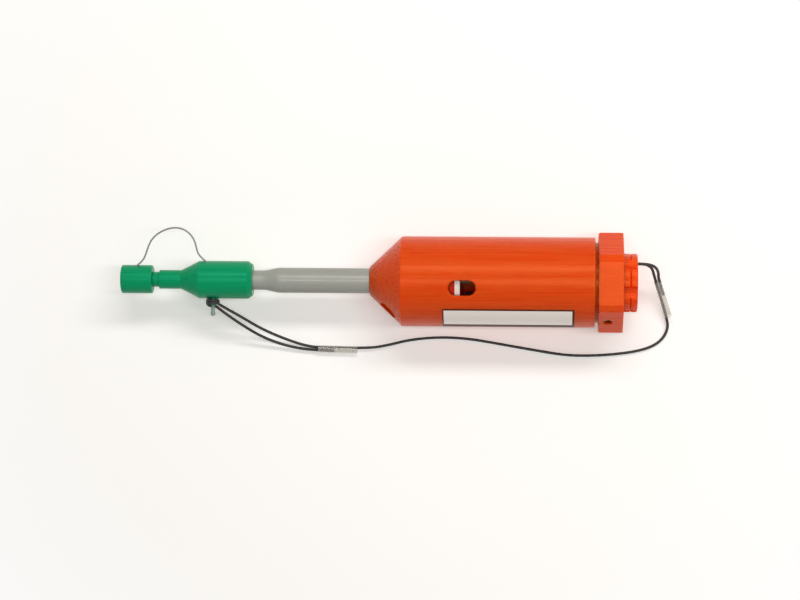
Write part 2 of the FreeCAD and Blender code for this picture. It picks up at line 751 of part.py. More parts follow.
def make_end_cap():
    """The hexagonal cap: its flats are level with the round body, and its corners are turned off."""
    hexagon = doc.addObject("Part::Prism", "hex_prism")
    hexagon.Polygon = 6
    hexagon.setExpression("Circumradius", "Sizes.body_radius / cos(30 deg)")
    hexagon.setExpression("Height", "Sizes.hex_length")
    quarter_roll = Rotation(AXIS_X, 90).multiply(Rotation(AXIS_Z, AXIS_X))
    hexagon.Placement = Placement(Vector(size(HEX_START), 0, 0), quarter_roll)
    hexagon = edges_rounded("hex_corner_rounding", hexagon, HEX_START, HEX_END, "hex_corner_round")
    turned = turned_body("hex_turning", [
        (HEX_START, "0"),
        (HEX_START, "hex_corner_radius - hex_lead_chamfer"),
        (f"{HEX_START} + hex_lead_chamfer", "hex_corner_radius"),
        (HEX_END, "hex_corner_radius"),
        (HEX_END, "0"),
    ])
    hex_part = joined("Common", "hex_part", [hexagon, turned])
    hex_part = edges_rounded("hex_end_rounding", hex_part, HEX_END, HEX_END, "hex_end_edge")
    spigot = turned_body("cap_spigot", [
        (CAP_SPIGOT_START, "0"),
        (CAP_SPIGOT_START, f"{CAVITY_RADIUS} - spigot_fit"),
        (BODY_END, f"{CAVITY_RADIUS} - spigot_fit"),
        (BODY_END, "body_radius - cap_groove_depth"),
        (f"{HEX_START} + hex_lead_chamfer", "body_radius - cap_groove_depth"),
        (f"{HEX_START} + hex_lead_chamfer", "0"),
    ])
    blank = joined("Fuse", "cap_blank", [hex_part, spigot])
    bore_length = f"{CAP_FLOOR_START} - ({CAP_SPIGOT_START})"
    bore = cylinder("cap_bore", CAP_BORE_RADIUS, bore_length, AXIS_X, Vector(size(CAP_SPIGOT_START), 0, 0))
    plug_bore = cylinder("plug_bore", f"{SHANK_RADIUS} + plug_fit", "2 * cap_floor", AXIS_X,
                         Vector(size(CAP_FLOOR_START), 0, 0))
    slots = bayonet_bar("bayonet_slots", f"{LUG_RADIUS} + 2 * plug_fit", "bayonet_width + 2 * plug_fit",
                        "cap_floor", CAP_FLOOR_START, AXIS_Y)
    roll = Rotation(AXIS_X, size("set_screw_roll_deg"))
    out = roll.multVec(AXIS_Z)
    screw_station = size(f"{SPRING_SEAT_START} + spring_seat_thickness / 2")
    hole_foot = size("body_radius - set_screw_recess - set_screw_length")
    screw_hole = cylinder("set_screw_hole", "set_screw_radius", "body_radius", out,
                          Vector(screw_station, 0, 0) + out * hole_foot)
    return on_axis(joined("Cut", "end_cap", [blank, bore, plug_bore, slots, screw_hole]))


def make_set_screw():
    """The grub screw that holds the spring seat, with a hexagonal socket in its outer end."""
    roll = Rotation(AXIS_X, size("set_screw_roll_deg"))
    out = roll.multVec(AXIS_Z)
    station = Vector(size(f"{SPRING_SEAT_START} + spring_seat_thickness / 2"), 0, 0)
    top = size("body_radius - set_screw_recess")
    foot = top - size("set_screw_length")
    shaft = cylinder("set_screw_shaft", "set_screw_radius", "set_screw_length", out, station + out * foot)
    socket = doc.addObject("Part::Prism", "set_screw_socket")
    socket.Polygon = 6
    socket.setExpression("Circumradius", "Sizes.set_screw_socket_radius")
    socket.setExpression("Height", "Sizes.set_screw_length")
    floor = top - size("set_screw_socket_depth")
    socket.Placement = Placement(station + out * floor, Rotation(AXIS_Z, out))
    return on_axis(joined("Cut", "cap_set_screw", [shaft, socket]))


def make_spring_seat():
    """The ring that the return spring bears on, inside the end cap."""
    return on_axis(turned_body("spring_seat", [
        (SPRING_SEAT_START, SEAT_BORE_RADIUS),
        (SPRING_SEAT_START, SEAT_RADIUS),
        (CAP_FLOOR_START, SEAT_RADIUS),
        (CAP_FLOOR_START, SEAT_BORE_RADIUS),
    ]))


LANYARD_MOUTHS = [
    Vector(HALF_PEN, size("lanyard_hole_offset"), AXIS_HEIGHT + side * size("lanyard_hole_spacing") / 2)
    for side in (1, -1)
]


def lanyard_bend(reach_out):
    """The U-shaped way of the strap through the knob: in at one mouth, round behind a bar, and out again."""
    upper, lower = LANYARD_MOUTHS
    bend_radius = (upper - lower).Length / 2
    depth = Vector(size("lanyard_hole_depth"), 0, 0)
    out = Vector(reach_out, 0, 0)
    middle = (upper + lower) * 0.5 - depth - Vector(bend_radius, 0, 0)
    return [
        Part.makeLine(upper + out, upper - depth),
        Part.Arc(upper - depth, middle, lower - depth).toShape(),
        Part.makeLine(lower - depth, lower + out),
    ]


def make_refill_plug():
    """The scalloped quarter-turn plug, with two bayonet lugs, a seal groove and the lanyard's way through."""
    groove = f"{KNOB_START} + knob_length / 2"
    seal_station = f"{CAP_FLOOR_START} + cap_floor / 2"
    seal_floor = f"{SHANK_RADIUS} + plug_fit - seal_squeeze - 2 * seal_radius"
    lug_end = f"{CAP_FLOOR_START} - bayonet_gap"
    lug_start = f"{lug_end} - bayonet_thickness"
    body = turned_body("plug_turning", [
        (lug_start, "0"),
        (lug_start, SHANK_RADIUS),
        (f"{seal_station} - seal_radius", SHANK_RADIUS),
        (f"{seal_station} - seal_radius", seal_floor),
        (f"{seal_station} + seal_radius", seal_floor),
        (f"{seal_station} + seal_radius", SHANK_RADIUS),
        (KNOB_START, SHANK_RADIUS),
        (KNOB_START, "knob_radius"),
        (f"{groove} - knob_groove_depth", "knob_radius"),
        (groove, "knob_radius - knob_groove_depth"),
        (f"{groove} + knob_groove_depth", "knob_radius"),
        (f"{PEN_END} - knob_edge", "knob_radius"),
        (PEN_END, "knob_radius - knob_edge"),
        (PEN_END, "0"),
    ])
    flutes = []
    count = int(size("knob_flutes"))
    for k in range(count):
        angle = math.radians(size("flute_roll_deg") + 360 * k / count)
        out = Vector(0, -math.sin(angle), math.cos(angle))
        centre = out * size("knob_radius + flute_radius - flute_depth")
        base = centre + Vector(size(f"{KNOB_START} - knob_edge"), 0, 0)
        flutes.append(cylinder(f"flute_{k + 1}", "flute_radius", "2 * knob_length", AXIS_X, base))
    lugs = bayonet_bar("bayonet_lugs", LUG_RADIUS, "bayonet_width", "bayonet_thickness", lug_start, AXIS_Z)
    way_radius = size("cord_radius + lanyard_hole_fit")
    way = tube(Part.Wire(lanyard_bend(way_radius)), way_radius, "lanyard way")
    way.translate(Vector(HALF_PEN, 0, -AXIS_HEIGHT))
    blank = joined("Fuse", "plug_blank", [body, lugs])
    return on_axis(joined("Cut", "refill_plug", [blank, *flutes, coded("lanyard_way", way)]))


def make_plug_seal():
    """The rubber ring in the plug's groove."""
    ring = doc.addObject("Part::Torus", "plug_seal")
    ring.setExpression("Radius1", bound(f"{SHANK_RADIUS} + plug_fit - seal_squeeze - seal_radius"))
    ring.setExpression("Radius2", "Sizes.seal_radius")
    ring.Placement.Rotation = Rotation(AXIS_Z, AXIS_X)
    on_axis(ring)
    ring.setExpression("Placement.Base.x", bound(f"{CAP_FLOOR_START} + cap_floor / 2 - ({PEN_END}) / 2"))
    return ring


# ---------------------------------------------------------------- carriage and index ring


def make_carriage():
    """The sliding frame: a collar on the nozzle, a funnel, a disc, two cheeks for the reels, a rear plate."""
    collar_bore = "nozzle_tail_radius"
    tail_end = f"{COLLAR_START} + nozzle_tail_length"
    funnel_bore_start = f"{tail_end} + cheek_thickness"
    turned = turned_body("carriage_turning", [
        (COLLAR_START, collar_bore),
        (COLLAR_START, "collar_radius"),
        (FUNNEL_START, "collar_radius"),
        (DISC_START, CARRIAGE_RADIUS),
        (RING_START, CARRIAGE_RADIUS),
        (RING_START, RING_SEAT_RADIUS),
        (DISC_END, RING_SEAT_RADIUS),
        (DISC_END, "disc_bore_radius"),
        (f"{DISC_START} + ring_width", "disc_bore_radius"),
        (funnel_bore_start, "neck_radius"),
        (tail_end, "neck_radius"),
        (tail_end, collar_bore),
    ])
    cheek_start = size(f"{RING_START} - cheek_root")
    cheek_length = f"{CAP_SPIGOT_START} - ({RING_START} - cheek_root)"
    slabs = []
    for name, side in (("right_cheek", f"-{CHEEK_OUTER}"), ("left_cheek", CHEEK_INNER)):
        base = Vector(cheek_start, size(side), -size(REAR_PLATE_RADIUS))
        slabs.append(box(name, cheek_length, "cheek_thickness", f"2 * {REAR_PLATE_RADIUS}", base))
    bore_round = cylinder("cheek_round", REAR_PLATE_RADIUS, cheek_length, AXIS_X, Vector(cheek_start, 0, 0))
    cheeks = joined("Common", "cheeks", [joined("Fuse", "cheek_slabs", slabs), bore_round])
    plate = cylinder("rear_plate", REAR_PLATE_RADIUS, "rear_plate_thickness", AXIS_X,
                     Vector(size(REAR_PLATE_START), 0, 0))
    plate_hole = cylinder("rear_plate_opening", "rear_plate_hole", "rear_plate_thickness", AXIS_X,
                          Vector(size(REAR_PLATE_START), 0, 0))
    frame = joined("Fuse", "carriage_frame", [turned, plate, cheeks])
    holes = [
        axle_hole("take_up_bearing", TAKE_UP_CENTRE, "axle_radius + axle_fit"),
        axle_hole("supply_axle_hole", SUPPLY_CENTRE, "axle_radius"),
    ]
    return on_axis(joined("Cut", "carriage", [frame, plate_hole, *holes]))


def make_index_ring():
    """The white ring on the carriage that shows through the window."""
    return on_axis(turned_body("index_ring", [
        (RING_START, RING_SEAT_RADIUS),
        (RING_START, f"{CARRIAGE_RADIUS} + ring_proud"),
        (DISC_END, f"{CARRIAGE_RADIUS} + ring_proud"),
        (DISC_END, RING_SEAT_RADIUS),
    ]))


# ---------------------------------------------------------------- reels and drive


def across_pen(piece, station, y=0.0):
    """Turns a piece drawn along X so that it runs along Y, centred at a station."""
    piece.Placement.Rotation = Rotation(AXIS_Z, 90)
    piece.setExpression("Placement.Base.x", bound(f"{station} - ({PEN_END}) / 2"))
    piece.Placement.Base = Vector(piece.Placement.Base.x, y, 0)
    piece.setExpression("Placement.Base.z", "Sizes.body_radius")
    return piece


def make_reel(name, station, bore):
    """A flanged reel for the thread."""
    body = turned_body(name, [
        ("0", bore),
        ("0", "reel_radius"),
        ("reel_flange", "reel_radius"),
        ("reel_flange", "reel_hub_radius"),
        ("reel_width - reel_flange", "reel_hub_radius"),
        ("reel_width - reel_flange", "reel_radius"),
        ("reel_width", "reel_radius"),
        ("reel_width", bore),
    ])
    return across_pen(body, station, -size("reel_width") / 2)


def make_winding(name, station, radius):
    """The thread wound on a reel's hub."""
    body = turned_body(name, [
        ("0", "reel_hub_radius"),
        ("0", radius),
        ("reel_width - 2 * reel_flange", radius),
        ("reel_width - 2 * reel_flange", "reel_hub_radius"),
    ])
    return across_pen(body, station, size("reel_flange") - size("reel_width") / 2)


def make_axle(name, station, right, left):
    """A plain axle across the cheeks, from its right end (-Y) to its left end (+Y)."""
    axle = cylinder(name, "axle_radius", f"{left} + {right}", AXIS_Y, Vector(0, -size(right), 0))
    axle.setExpression("Placement.Base.x", bound(f"{station} - ({PEN_END}) / 2"))
    axle.setExpression("Placement.Base.z", "Sizes.body_radius")
    return axle


def involute(base_radius, radius):
    """The involute's own angle at a radius."""
    ratio = math.sqrt((radius / base_radius) ** 2 - 1)
    return ratio - math.atan(ratio)


def make_pinion():
    """An involute pinion on the take-up axle. At rest one tooth points straight down into the rack."""
    teeth = int(size("pinion_teeth"))
    pressure = math.radians(size("pressure_angle_deg"))
    outer = PITCH_RADIUS + size("tooth_addendum")
    root = PITCH_RADIUS - size("tooth_addendum + tooth_root_gap")
    base = PITCH_RADIUS * math.cos(pressure)
    tooth_width = math.pi * size("gear_module") / 2 - size("tooth_backlash") / 2
    half_angle = tooth_width / (2 * PITCH_RADIUS) + involute(base, PITCH_RADIUS)

    def at(radius, angle):
        return Vector(radius * math.sin(angle), 0, -radius * math.cos(angle))

    flank_start = max(base, root) + TINY
    steps = [flank_start + (outer - flank_start) * k / 4 for k in range(5)]
    edges = []
    pitch = 2 * math.pi / teeth
    for k in range(teeth):
        centre = k * pitch
        flanks = []
        for side in (-1, 1):
            points = [at(r, centre + side * (half_angle - involute(base, r))) for r in steps]
            curve = Part.BSplineCurve()
            curve.interpolate(points if side < 0 else points[::-1])
            flanks.append(curve.toShape())
        root_angle = half_angle - involute(base, flank_start)
        roots = [at(root, centre - root_angle), at(root, centre + root_angle)]
        low = [at(flank_start, centre - root_angle), at(flank_start, centre + root_angle)]
        tip_angle = half_angle - involute(base, outer)
        tips = [at(outer, centre - tip_angle), at(outer, centre), at(outer, centre + tip_angle)]
        next_root = at(root, centre + pitch - root_angle)
        valley = at(root, centre + pitch / 2)
        edges += [
            Part.makeLine(roots[0], low[0]),
            flanks[0],
            Part.Arc(*tips).toShape(),
            flanks[1],
            Part.makeLine(low[1], roots[1]),
            Part.Arc(roots[1], valley, next_root).toShape(),
        ]
    face = Part.Face(Part.Wire(Part.__sortEdges__(edges)))
    width = size("pinion_width")
    solid = face.extrude(Vector(0, width, 0))
    solid = solid.cut(Part.makeCylinder(size("axle_radius"), width, Vector(0, 0, 0), AXIS_Y))
    piece = coded("drive_pinion", solid)
    piece.Placement.Base = at_station(size(TAKE_UP_CENTRE), size(DRIVE_SIDE))
    return piece


def make_rack():
    """The rack fixed in the housing: a rib that stands on the bore, with teeth up to the pinion."""
    module = size("gear_module")
    slope = math.tan(math.radians(size("pressure_angle_deg")))
    pitch = math.pi * module
    tip = -PITCH_RADIUS + size("tooth_addendum")
    root = -PITCH_RADIUS - size("tooth_addendum + tooth_root_gap")
    half_tooth = (pitch / 2 - size("tooth_backlash") / 2) / 2
    start = -size("rack_front_reach")
    end = size("push_stroke + rack_rear_reach")
    overhang = size("rack_overhang")
    depth = size("body_radius")
    outline = [Vector(start, 0, -depth), Vector(start, 0, root)]
    count = int((end - start) / pitch)
    first = math.ceil((start + pitch / 2) / pitch)
    for k in range(first, first + count):
        centre = (k + 0.5) * pitch
        if centre - pitch / 2 < start or centre + pitch / 2 > end:
            continue
        low = half_tooth + (-PITCH_RADIUS - root) * slope
        high = half_tooth - (tip + PITCH_RADIUS) * slope
        outline += [
            Vector(centre - low, 0, root),
            Vector(centre - high, 0, tip),
            Vector(centre + high, 0, tip),
            Vector(centre + low, 0, root),
        ]
    outline += [Vector(end, 0, root), Vector(end, 0, -depth)]
    width = size("pinion_width") + 2 * overhang
    solid = Part.Face(Part.makePolygon(outline + [outline[0]])).extrude(Vector(0, width, 0))
    solid.translate(Vector(0, size(DRIVE_SIDE) - overhang, 0))
    bore = Part.makeCylinder(size(CAVITY_RADIUS), 2 * depth, Vector(-depth, 0, 0), AXIS_X)
    piece = coded("drive_rack", solid.common(bore))
    piece.Placement.Base = at_station(size(TAKE_UP_CENTRE))
    return piece


def make_ratchet():
    """The saw-toothed wheel that lets the take-up reel turn one way only."""
    teeth = int(size("ratchet_teeth"))
    outer = size("ratchet_radius")
    root = outer - size("ratchet_tooth_depth")
    outline = []
    step = 2 * math.pi / teeth
    for k in range(teeth):
        angle = step * k
        middle = angle + step / 2
        middle_radius = (outer + root) / 2
        outline.append(Vector(root * math.cos(angle), 0, root * math.sin(angle)))
        outline.append(Vector(outer * math.cos(angle), 0, outer * math.sin(angle)))
        outline.append(Vector(middle_radius * math.cos(middle), 0, middle_radius * math.sin(middle)))
    width = size("ratchet_width")
    solid = Part.Face(Part.makePolygon(outline + [outline[0]])).extrude(Vector(0, width, 0))
    solid = solid.cut(Part.makeCylinder(size("axle_radius"), width, Vector(0, 0, 0), AXIS_Y))
    piece = coded("ratchet_wheel", solid)
    piece.Placement.Base = at_station(size(TAKE_UP_CENTRE), -size(DRIVE_SIDE) - width)
    return piece


def make_pawl():
    """The leaf pawl: a post on the cheek and a thin springy arm that drops into the ratchet's teeth."""
    width = size("ratchet_width")
    reach = size("ratchet_radius") - size("ratchet_tooth_depth") / 2
    tip = Vector(0, 0, reach + size("pawl_thickness"))
    post = Vector(size("pawl_reach"), 0, reach + size("pawl_post_radius"))
    thickness = size("pawl_thickness")
    arm_direction = post - tip
    normal = arm_direction.cross(AXIS_Y).normalize()
    if normal.z < 0:
        normal = -normal
    corners = [tip, post, post + normal * thickness, tip + normal * thickness]
    arm = Part.Face(Part.makePolygon(corners + [corners[0]])).extrude(Vector(0, width, 0))
    length = width + size("drive_side_gap")
    post_bar = Part.makeCylinder(size("pawl_post_radius"), length, post, AXIS_Y)
    piece = coded("ratchet_pawl", arm.fuse(post_bar))
    piece.Placement.Base = at_station(size(TAKE_UP_CENTRE), -size(DRIVE_SIDE) - width)
    return piece


SPRING_STEPS_PER_TURN = 10


def make_return_spring():
    """The compression spring between the rear plate and the end cap's seat, with its end turns laid flat."""
    wire_radius = size("spring_wire_radius")
    radius = size(f"({SEAT_RADIUS} + {SEAT_BORE_RADIUS}) / 2")
    start = size(CAP_SPIGOT_START) + wire_radius
    rise = size(SPRING_SEAT_START) - wire_radius - start
    live = size("spring_live_turns")
    flat = size("spring_flat_turns")
    steps = round((live + 2 * flat) * SPRING_STEPS_PER_TURN)
    corner_radius = radius / math.cos(math.pi / SPRING_STEPS_PER_TURN)
    points = []
    for k in range(steps + 1):
        turns = k / SPRING_STEPS_PER_TURN
        climbed = min(max((turns - flat) / live, 0.0), 1.0)
        angle = 2 * math.pi * turns
        away = Vector(0, math.cos(angle), math.sin(angle)) * corner_radius
        points.append(at_station(start + rise * climbed, away.y, away.z))
    return cord("return_spring", points, wire_radius)


# ---------------------------------------------------------------- strap

SLEEVES = {
    "strap_sleeve_rear": (Vector(93.1, 0.4, 7.4), Vector(97.1, -11.6, 2.2)),
    "strap_sleeve_front": (Vector(-7.8, -23.7, 1.4), Vector(-21.0, -23.4, 1.4)),
}


def make_sleeve(name):
    """A clear tube that holds the strap's cord and its turned-back end side by side."""
    start, end = SLEEVES[name]
    direction = (end - start).normalize()
    outer_radius = f"{SLEEVE_BORE_RADIUS} + sleeve_wall"
    outer = cylinder(name + "_outer", outer_radius, "sleeve_length", direction, start)
    bore = cylinder(name + "_bore", SLEEVE_BORE_RADIUS, "sleeve_length", direction, start)
    return joined("Cut", name, [outer, bore])


def sleeve_lanes(name):
    """The two lanes through a sleeve: its start and end, and the sideways step from its axis to a lane."""
    start, end = SLEEVES[name]
    direction = (end - start).normalize()
    end = start + direction * size("sleeve_length")
    step = direction.cross(AXIS_Z).normalize() * size("cord_radius + cord_lane_gap")
    return start, end, direction, step


def make_strap():
    """The strap's single cord, the loop through the knob and the two strands to the hitch."""
    radius = size("cord_radius")
    tucked = size("cord_tuck")
    rear_start, rear_end, rear_way, rear_lane = sleeve_lanes("strap_sleeve_rear")
    front_start, front_end, front_way, front_lane = sleeve_lanes("strap_sleeve_front")

    single = [
        rear_start + rear_lane,
        rear_end + rear_lane + rear_way * 1.5,
        Vector(96.8, -16.3, 0.9),
        Vector(94.8, -19.6, 0.6),
        Vector(91.3, -21.9, 0.6),
        Vector(86.2, -23.4, 0.6),
        Vector(79.3, -24.4, 0.6),
        Vector(70.9, -25.0, 0.6),
        Vector(62.5, -24.9, 0.6),
        Vector(52.3, -23.3, 0.6),
        Vector(40.4, -21.3, 0.6),
        Vector(30.3, -19.6, 0.6),
        Vector(20.1, -19.1, 0.6),
        Vector(10.0, -20.1, 0.6),
        Vector(3.1, -21.9, 0.7),
        front_start + front_lane - front_way * 3.4,
        front_end + front_lane,
    ]
    upper = [
        front_end + front_lane,
        front_end + front_lane + front_way * 3.0,
        Vector(-31.5, -20.5, 1.8),
        Vector(-39.9, -16.8, 5.0),
        Vector(-46.5, -12.5, 9.6),
        Vector(-51.2, -9.6, 13.2),
        Vector(-53.7, -8.1, 14.2),
    ]
    lower = [
        front_end - front_lane - front_way * tucked,
        front_end - front_lane + front_way * 3.4,
        Vector(-33.1, -22.2, 2.0),
        Vector(-40.6, -19.1, 4.8),
        Vector(-47.3, -14.6, 9.2),
        Vector(-52.3, -10.8, 12.4),
        Vector(-54.6, -8.9, 13.4),
    ]
    upper_mouth, lower_mouth = LANYARD_MOUTHS
    loop = [
        rear_start + rear_lane,
        rear_start + rear_lane - rear_way * 2.6,
        Vector(91.2, 4.6, 10.9),
        Vector(89.9, 5.8, 12.7),
        Vector(88.0, lower_mouth.y, lower_mouth.z),
        lower_mouth,
    ]
    loop_back = [
        upper_mouth,
        Vector(88.6, upper_mouth.y, upper_mouth.z),
        Vector(91.0, 5.9, 15.5),
        Vector(92.6, 4.8, 13.1),
        Vector(93.3, 3.1, 10.2),
        rear_start - rear_lane - rear_way * 0.9,
        rear_start - rear_lane + rear_way * tucked,
    ]
    out_edges = arc_route("strap_loop_rear out", loop).Edges
    bend = lanyard_bend(0.0)
    back_edges = arc_route("strap_loop_rear back", loop_back).Edges
    loop_wire = Part.Wire(Part.__sortEdges__(out_edges + bend + back_edges))
    return [
        cord("strap_cord", single, radius),
        cord("strap_strand_upper", upper, radius),
        cord("strap_strand_lower", lower, radius),
        coded("strap_loop_rear", tube(loop_wire, radius, "strap_loop_rear")),
    ]


def make_hitch():
    """The hitch of the strap round the lanyard post: two turns of cord pulled up side by side."""
    station = size(f"{GUIDE_END} - post_from_guide_end")
    turns = []
    for k in range(2):
        turn = doc.addObject("Part::Torus", f"hitch_turn_{k + 1}")
        turn.setExpression("Radius1", bound("post_radius + hitch_fit + cord_radius"))
        turn.setExpression("Radius2", "Sizes.cord_radius")
        y = -size(f"guide_radius + hitch_fit + cord_radius + {k} * hitch_pitch")
        turn.Placement = Placement(Vector(station, y, 0), Rotation(AXIS_Z, AXIS_Y))
        turns.append(turn)
    return on_axis(joined("Fuse", "strap_hitch", turns))


# ---------------------------------------------------------------- the pen

pieces = [
    make_dust_cap(),
    make_ferrule_sleeve(),
    make_guide_cap(),
    make_tether_anchor(),
    make_nozzle(),
    make_nozzle_tip(),
    make_cleaning_head(),
    make_thread(),
    make_housing(),
    make_nose_bush(),
    make_label(),
    make_end_cap(),
    make_set_screw(),
    make_spring_seat(),
    make_refill_plug(),
    make_plug_seal(),
    make_carriage(),
    make_index_ring(),
    make_reel("take_up_reel", TAKE_UP_CENTRE, "axle_radius"),
    make_winding("used_winding", TAKE_UP_CENTRE, "used_winding_radius"),
    make_reel("supply_reel", SUPPLY_CENTRE, "axle_radius + axle_fit"),
    make_winding("fresh_winding", SUPPLY_CENTRE, "fresh_winding_radius"),
    make_axle("take_up_axle", TAKE_UP_CENTRE, f"({DRIVE_SIDE} + ratchet_width)",
              f"({DRIVE_SIDE} + pinion_width)"),
    make_axle("supply_axle", SUPPLY_CENTRE, CHEEK_OUTER, CHEEK_OUTER),
    make_pinion(),
    make_rack(),
    make_ratchet(),
    make_pawl(),
    make_return_spring(),
    make_sleeve("strap_sleeve_rear"),
    make_sleeve("strap_sleeve_front"),
    *make_strap(),
    make_hitch(),
    cord("cap_tether", TETHER_ROUTE, size("tether_radius")),
]
doc.recompute()

for piece in pieces:
    piece.Label = piece.Name
for thing in doc.Objects:
    faults = [state for state in thing.State if state in ("Invalid", "Error")]
    if faults:
        raise RuntimeError(f"{thing.Name} failed: {faults}")
for piece in pieces:
    if piece.Shape.isNull() or not piece.Shape.isValid() or not piece.Shape.Solids:
        raise RuntimeError(f"{piece.Label} has no valid solid")

os.makedirs("parts", exist_ok=True)
for piece in pieces:
    piece.Shape.exportStep(os.path.join("parts", piece.Label + ".step"))
    print(piece.Label, len(piece.Shape.Solids), round(piece.Shape.Volume, 2))
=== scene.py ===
import math
import bmesh
import bpy
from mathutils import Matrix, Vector


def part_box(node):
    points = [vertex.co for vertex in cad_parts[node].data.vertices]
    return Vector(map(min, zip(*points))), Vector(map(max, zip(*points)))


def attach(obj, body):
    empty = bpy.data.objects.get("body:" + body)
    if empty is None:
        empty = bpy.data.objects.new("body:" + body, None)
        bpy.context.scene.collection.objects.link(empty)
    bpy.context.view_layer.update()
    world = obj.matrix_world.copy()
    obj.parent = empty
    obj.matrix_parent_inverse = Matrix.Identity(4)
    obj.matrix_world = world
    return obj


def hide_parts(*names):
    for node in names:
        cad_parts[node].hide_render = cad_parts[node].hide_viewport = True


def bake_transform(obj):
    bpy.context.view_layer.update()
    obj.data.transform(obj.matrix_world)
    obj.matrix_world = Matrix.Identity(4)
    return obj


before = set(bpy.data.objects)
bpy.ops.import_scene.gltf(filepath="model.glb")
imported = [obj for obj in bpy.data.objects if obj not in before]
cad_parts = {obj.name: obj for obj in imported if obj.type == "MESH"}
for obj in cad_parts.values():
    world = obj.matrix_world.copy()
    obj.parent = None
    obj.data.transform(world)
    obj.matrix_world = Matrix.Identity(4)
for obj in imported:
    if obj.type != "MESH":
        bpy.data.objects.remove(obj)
bpy.context.view_layer.update()
scene = bpy.context.scene
scene.view_settings.view_transform = "Standard"


# ---- The table, the lamps and the camera
# A sheet of matt white card, which fades to plain white away from the pen. A long softbox leans in from the
# side away from the lanyard, with a narrow strip lamp over the pen and a weak fill from the lanyard's side.

def linear(code):
    """A colour written as six sRGB hex digits, turned to linear light."""
    parts = [int(code[k:k + 2], 16) / 255 for k in (0, 2, 4)]
    return (*[p / 12.92 if p <= 0.04045 else ((p + 0.055) / 1.055) ** 2.4 for p in parts], 1)


def add(tree, kind, settings, links):
    """Adds a node. A setting goes to the socket or property of its name, a link feeds a socket."""
    made = tree.nodes.new(kind)
    for name, value in settings.items():
        if isinstance(name, int) or name in made.inputs:
            made.inputs[name].default_value = value
        else:
            setattr(made, name, value)
    for name, source in links.items():
        tree.links.new(source, made.inputs[name])
    return made


def bare_tree(holder):
    """The empty node tree of a material or world."""
    holder.use_nodes = True
    holder.node_tree.nodes.clear()
    return holder.node_tree


camera = bpy.data.objects.new("camera", bpy.data.cameras.new("camera"))
camera.location = (0.05503, 0.01686, 0.900)
camera.rotation_euler = (math.radians(-1.476), math.radians(3.097), math.radians(0.383))
camera.data.sensor_width = 36
camera.data.lens = 119.69
scene.collection.objects.link(camera)
scene.camera = camera

# Uncoated card: matt and a shade off white, with no gloss of its own.
card = bpy.data.materials.new("matt_white_card")
tree = bare_tree(card)
rays = add(tree, "ShaderNodeLightPath", {}, {})
looked_at = add(tree, "ShaderNodeMath", {"operation": "ADD"},
                {0: rays.outputs["Is Camera Ray"], 1: rays.outputs["Is Glossy Ray"]})
looked_at = add(tree, "ShaderNodeMath", {"operation": "ADD", "use_clamp": True},
                {0: looked_at.outputs[0], 1: rays.outputs["Is Transmission Ray"]})
place = add(tree, "ShaderNodeTexCoord", {}, {})
distance = add(tree, "ShaderNodeVectorMath", {"operation": "LENGTH"}, {0: place.outputs["Object"]})
faded = add(tree, "ShaderNodeMapRange", {"From Min": 0.11, "From Max": 0.22},
            {"Value": distance.outputs["Value"]})
paper = add(tree, "ShaderNodeBsdfDiffuse", {"Color": linear("F6F5F3")}, {})
lift = add(tree, "ShaderNodeEmission", {"Color": linear("FFFEFC"), "Strength": 0.27}, {})
lifted = add(tree, "ShaderNodeAddShader", {}, {0: paper.outputs[0], 1: lift.outputs[0]})
white = add(tree, "ShaderNodeEmission", {"Color": linear("FFFFFF"), "Strength": 1.0}, {})
far = add(tree, "ShaderNodeMixShader", {},
          {0: faded.outputs[0], 1: lifted.outputs[0], 2: white.outputs[0]})
shown = add(tree, "ShaderNodeMixShader", {},
            {0: looked_at.outputs[0], 1: paper.outputs[0], 2: far.outputs[0]})
add(tree, "ShaderNodeOutputMaterial", {}, {"Surface": shown.outputs[0]})

table_mesh = bpy.data.meshes.new("table")
sheet = bmesh.new()
bmesh.ops.create_grid(sheet, x_segments=2, y_segments=2, size=4.0)
sheet.to_mesh(table_mesh)
sheet.free()
table_mesh.materials.append(card)
table = bpy.data.objects.new("table", table_mesh)
scene.collection.objects.link(table)

world = bpy.data.worlds.new("pale_room")
scene.world = world
tree = bare_tree(world)
rays = add(tree, "ShaderNodeLightPath", {}, {})
looked_at = add(tree, "ShaderNodeMath", {"operation": "ADD"},
                {0: rays.outputs["Is Camera Ray"], 1: rays.outputs["Is Glossy Ray"]})
looked_at = add(tree, "ShaderNodeMath", {"operation": "ADD", "use_clamp": True},
                {0: looked_at.outputs[0], 1: rays.outputs["Is Transmission Ray"]})
room = add(tree, "ShaderNodeBackground", {"Color": linear("FFFDFB"), "Strength": 0.20}, {})
plain = add(tree, "ShaderNodeBackground", {"Color": linear("FFFFFF"), "Strength": 1.0}, {})
shown = add(tree, "ShaderNodeMixShader", {},
            {0: looked_at.outputs[0], 1: room.outputs[0], 2: plain.outputs[0]})
add(tree, "ShaderNodeOutputWorld", {}, {"Surface": shown.outputs[0]})


def lamp(name, tilt_deg, distance, length, width, power):
    """A flat lamp set along the pen's line, centred beyond its rear end and tilted from overhead towards +Y."""
    beyond_rear = 0.28
    light = bpy.data.lights.new(name, "AREA")
    light.shape = "RECTANGLE"
    light.size = length
    light.size_y = width
    light.energy = power
    light.color = linear("FFFCF8")[:3]
    body = bpy.data.objects.new(name, light)
    tilt = math.radians(tilt_deg)
    body.location = (beyond_rear, distance * math.sin(tilt), distance * math.cos(tilt))
    body.rotation_euler = (-tilt, 0, 0)
    scene.collection.objects.link(body)


lamp("softbox", 35, 0.90, 0.90, 0.13, 4.0)
lamp("strip_lamp", 2, 1.00, 0.90, 0.10, 3.6)
lamp("near_fill", -62, 0.90, 1.00, 0.26, 0.26)


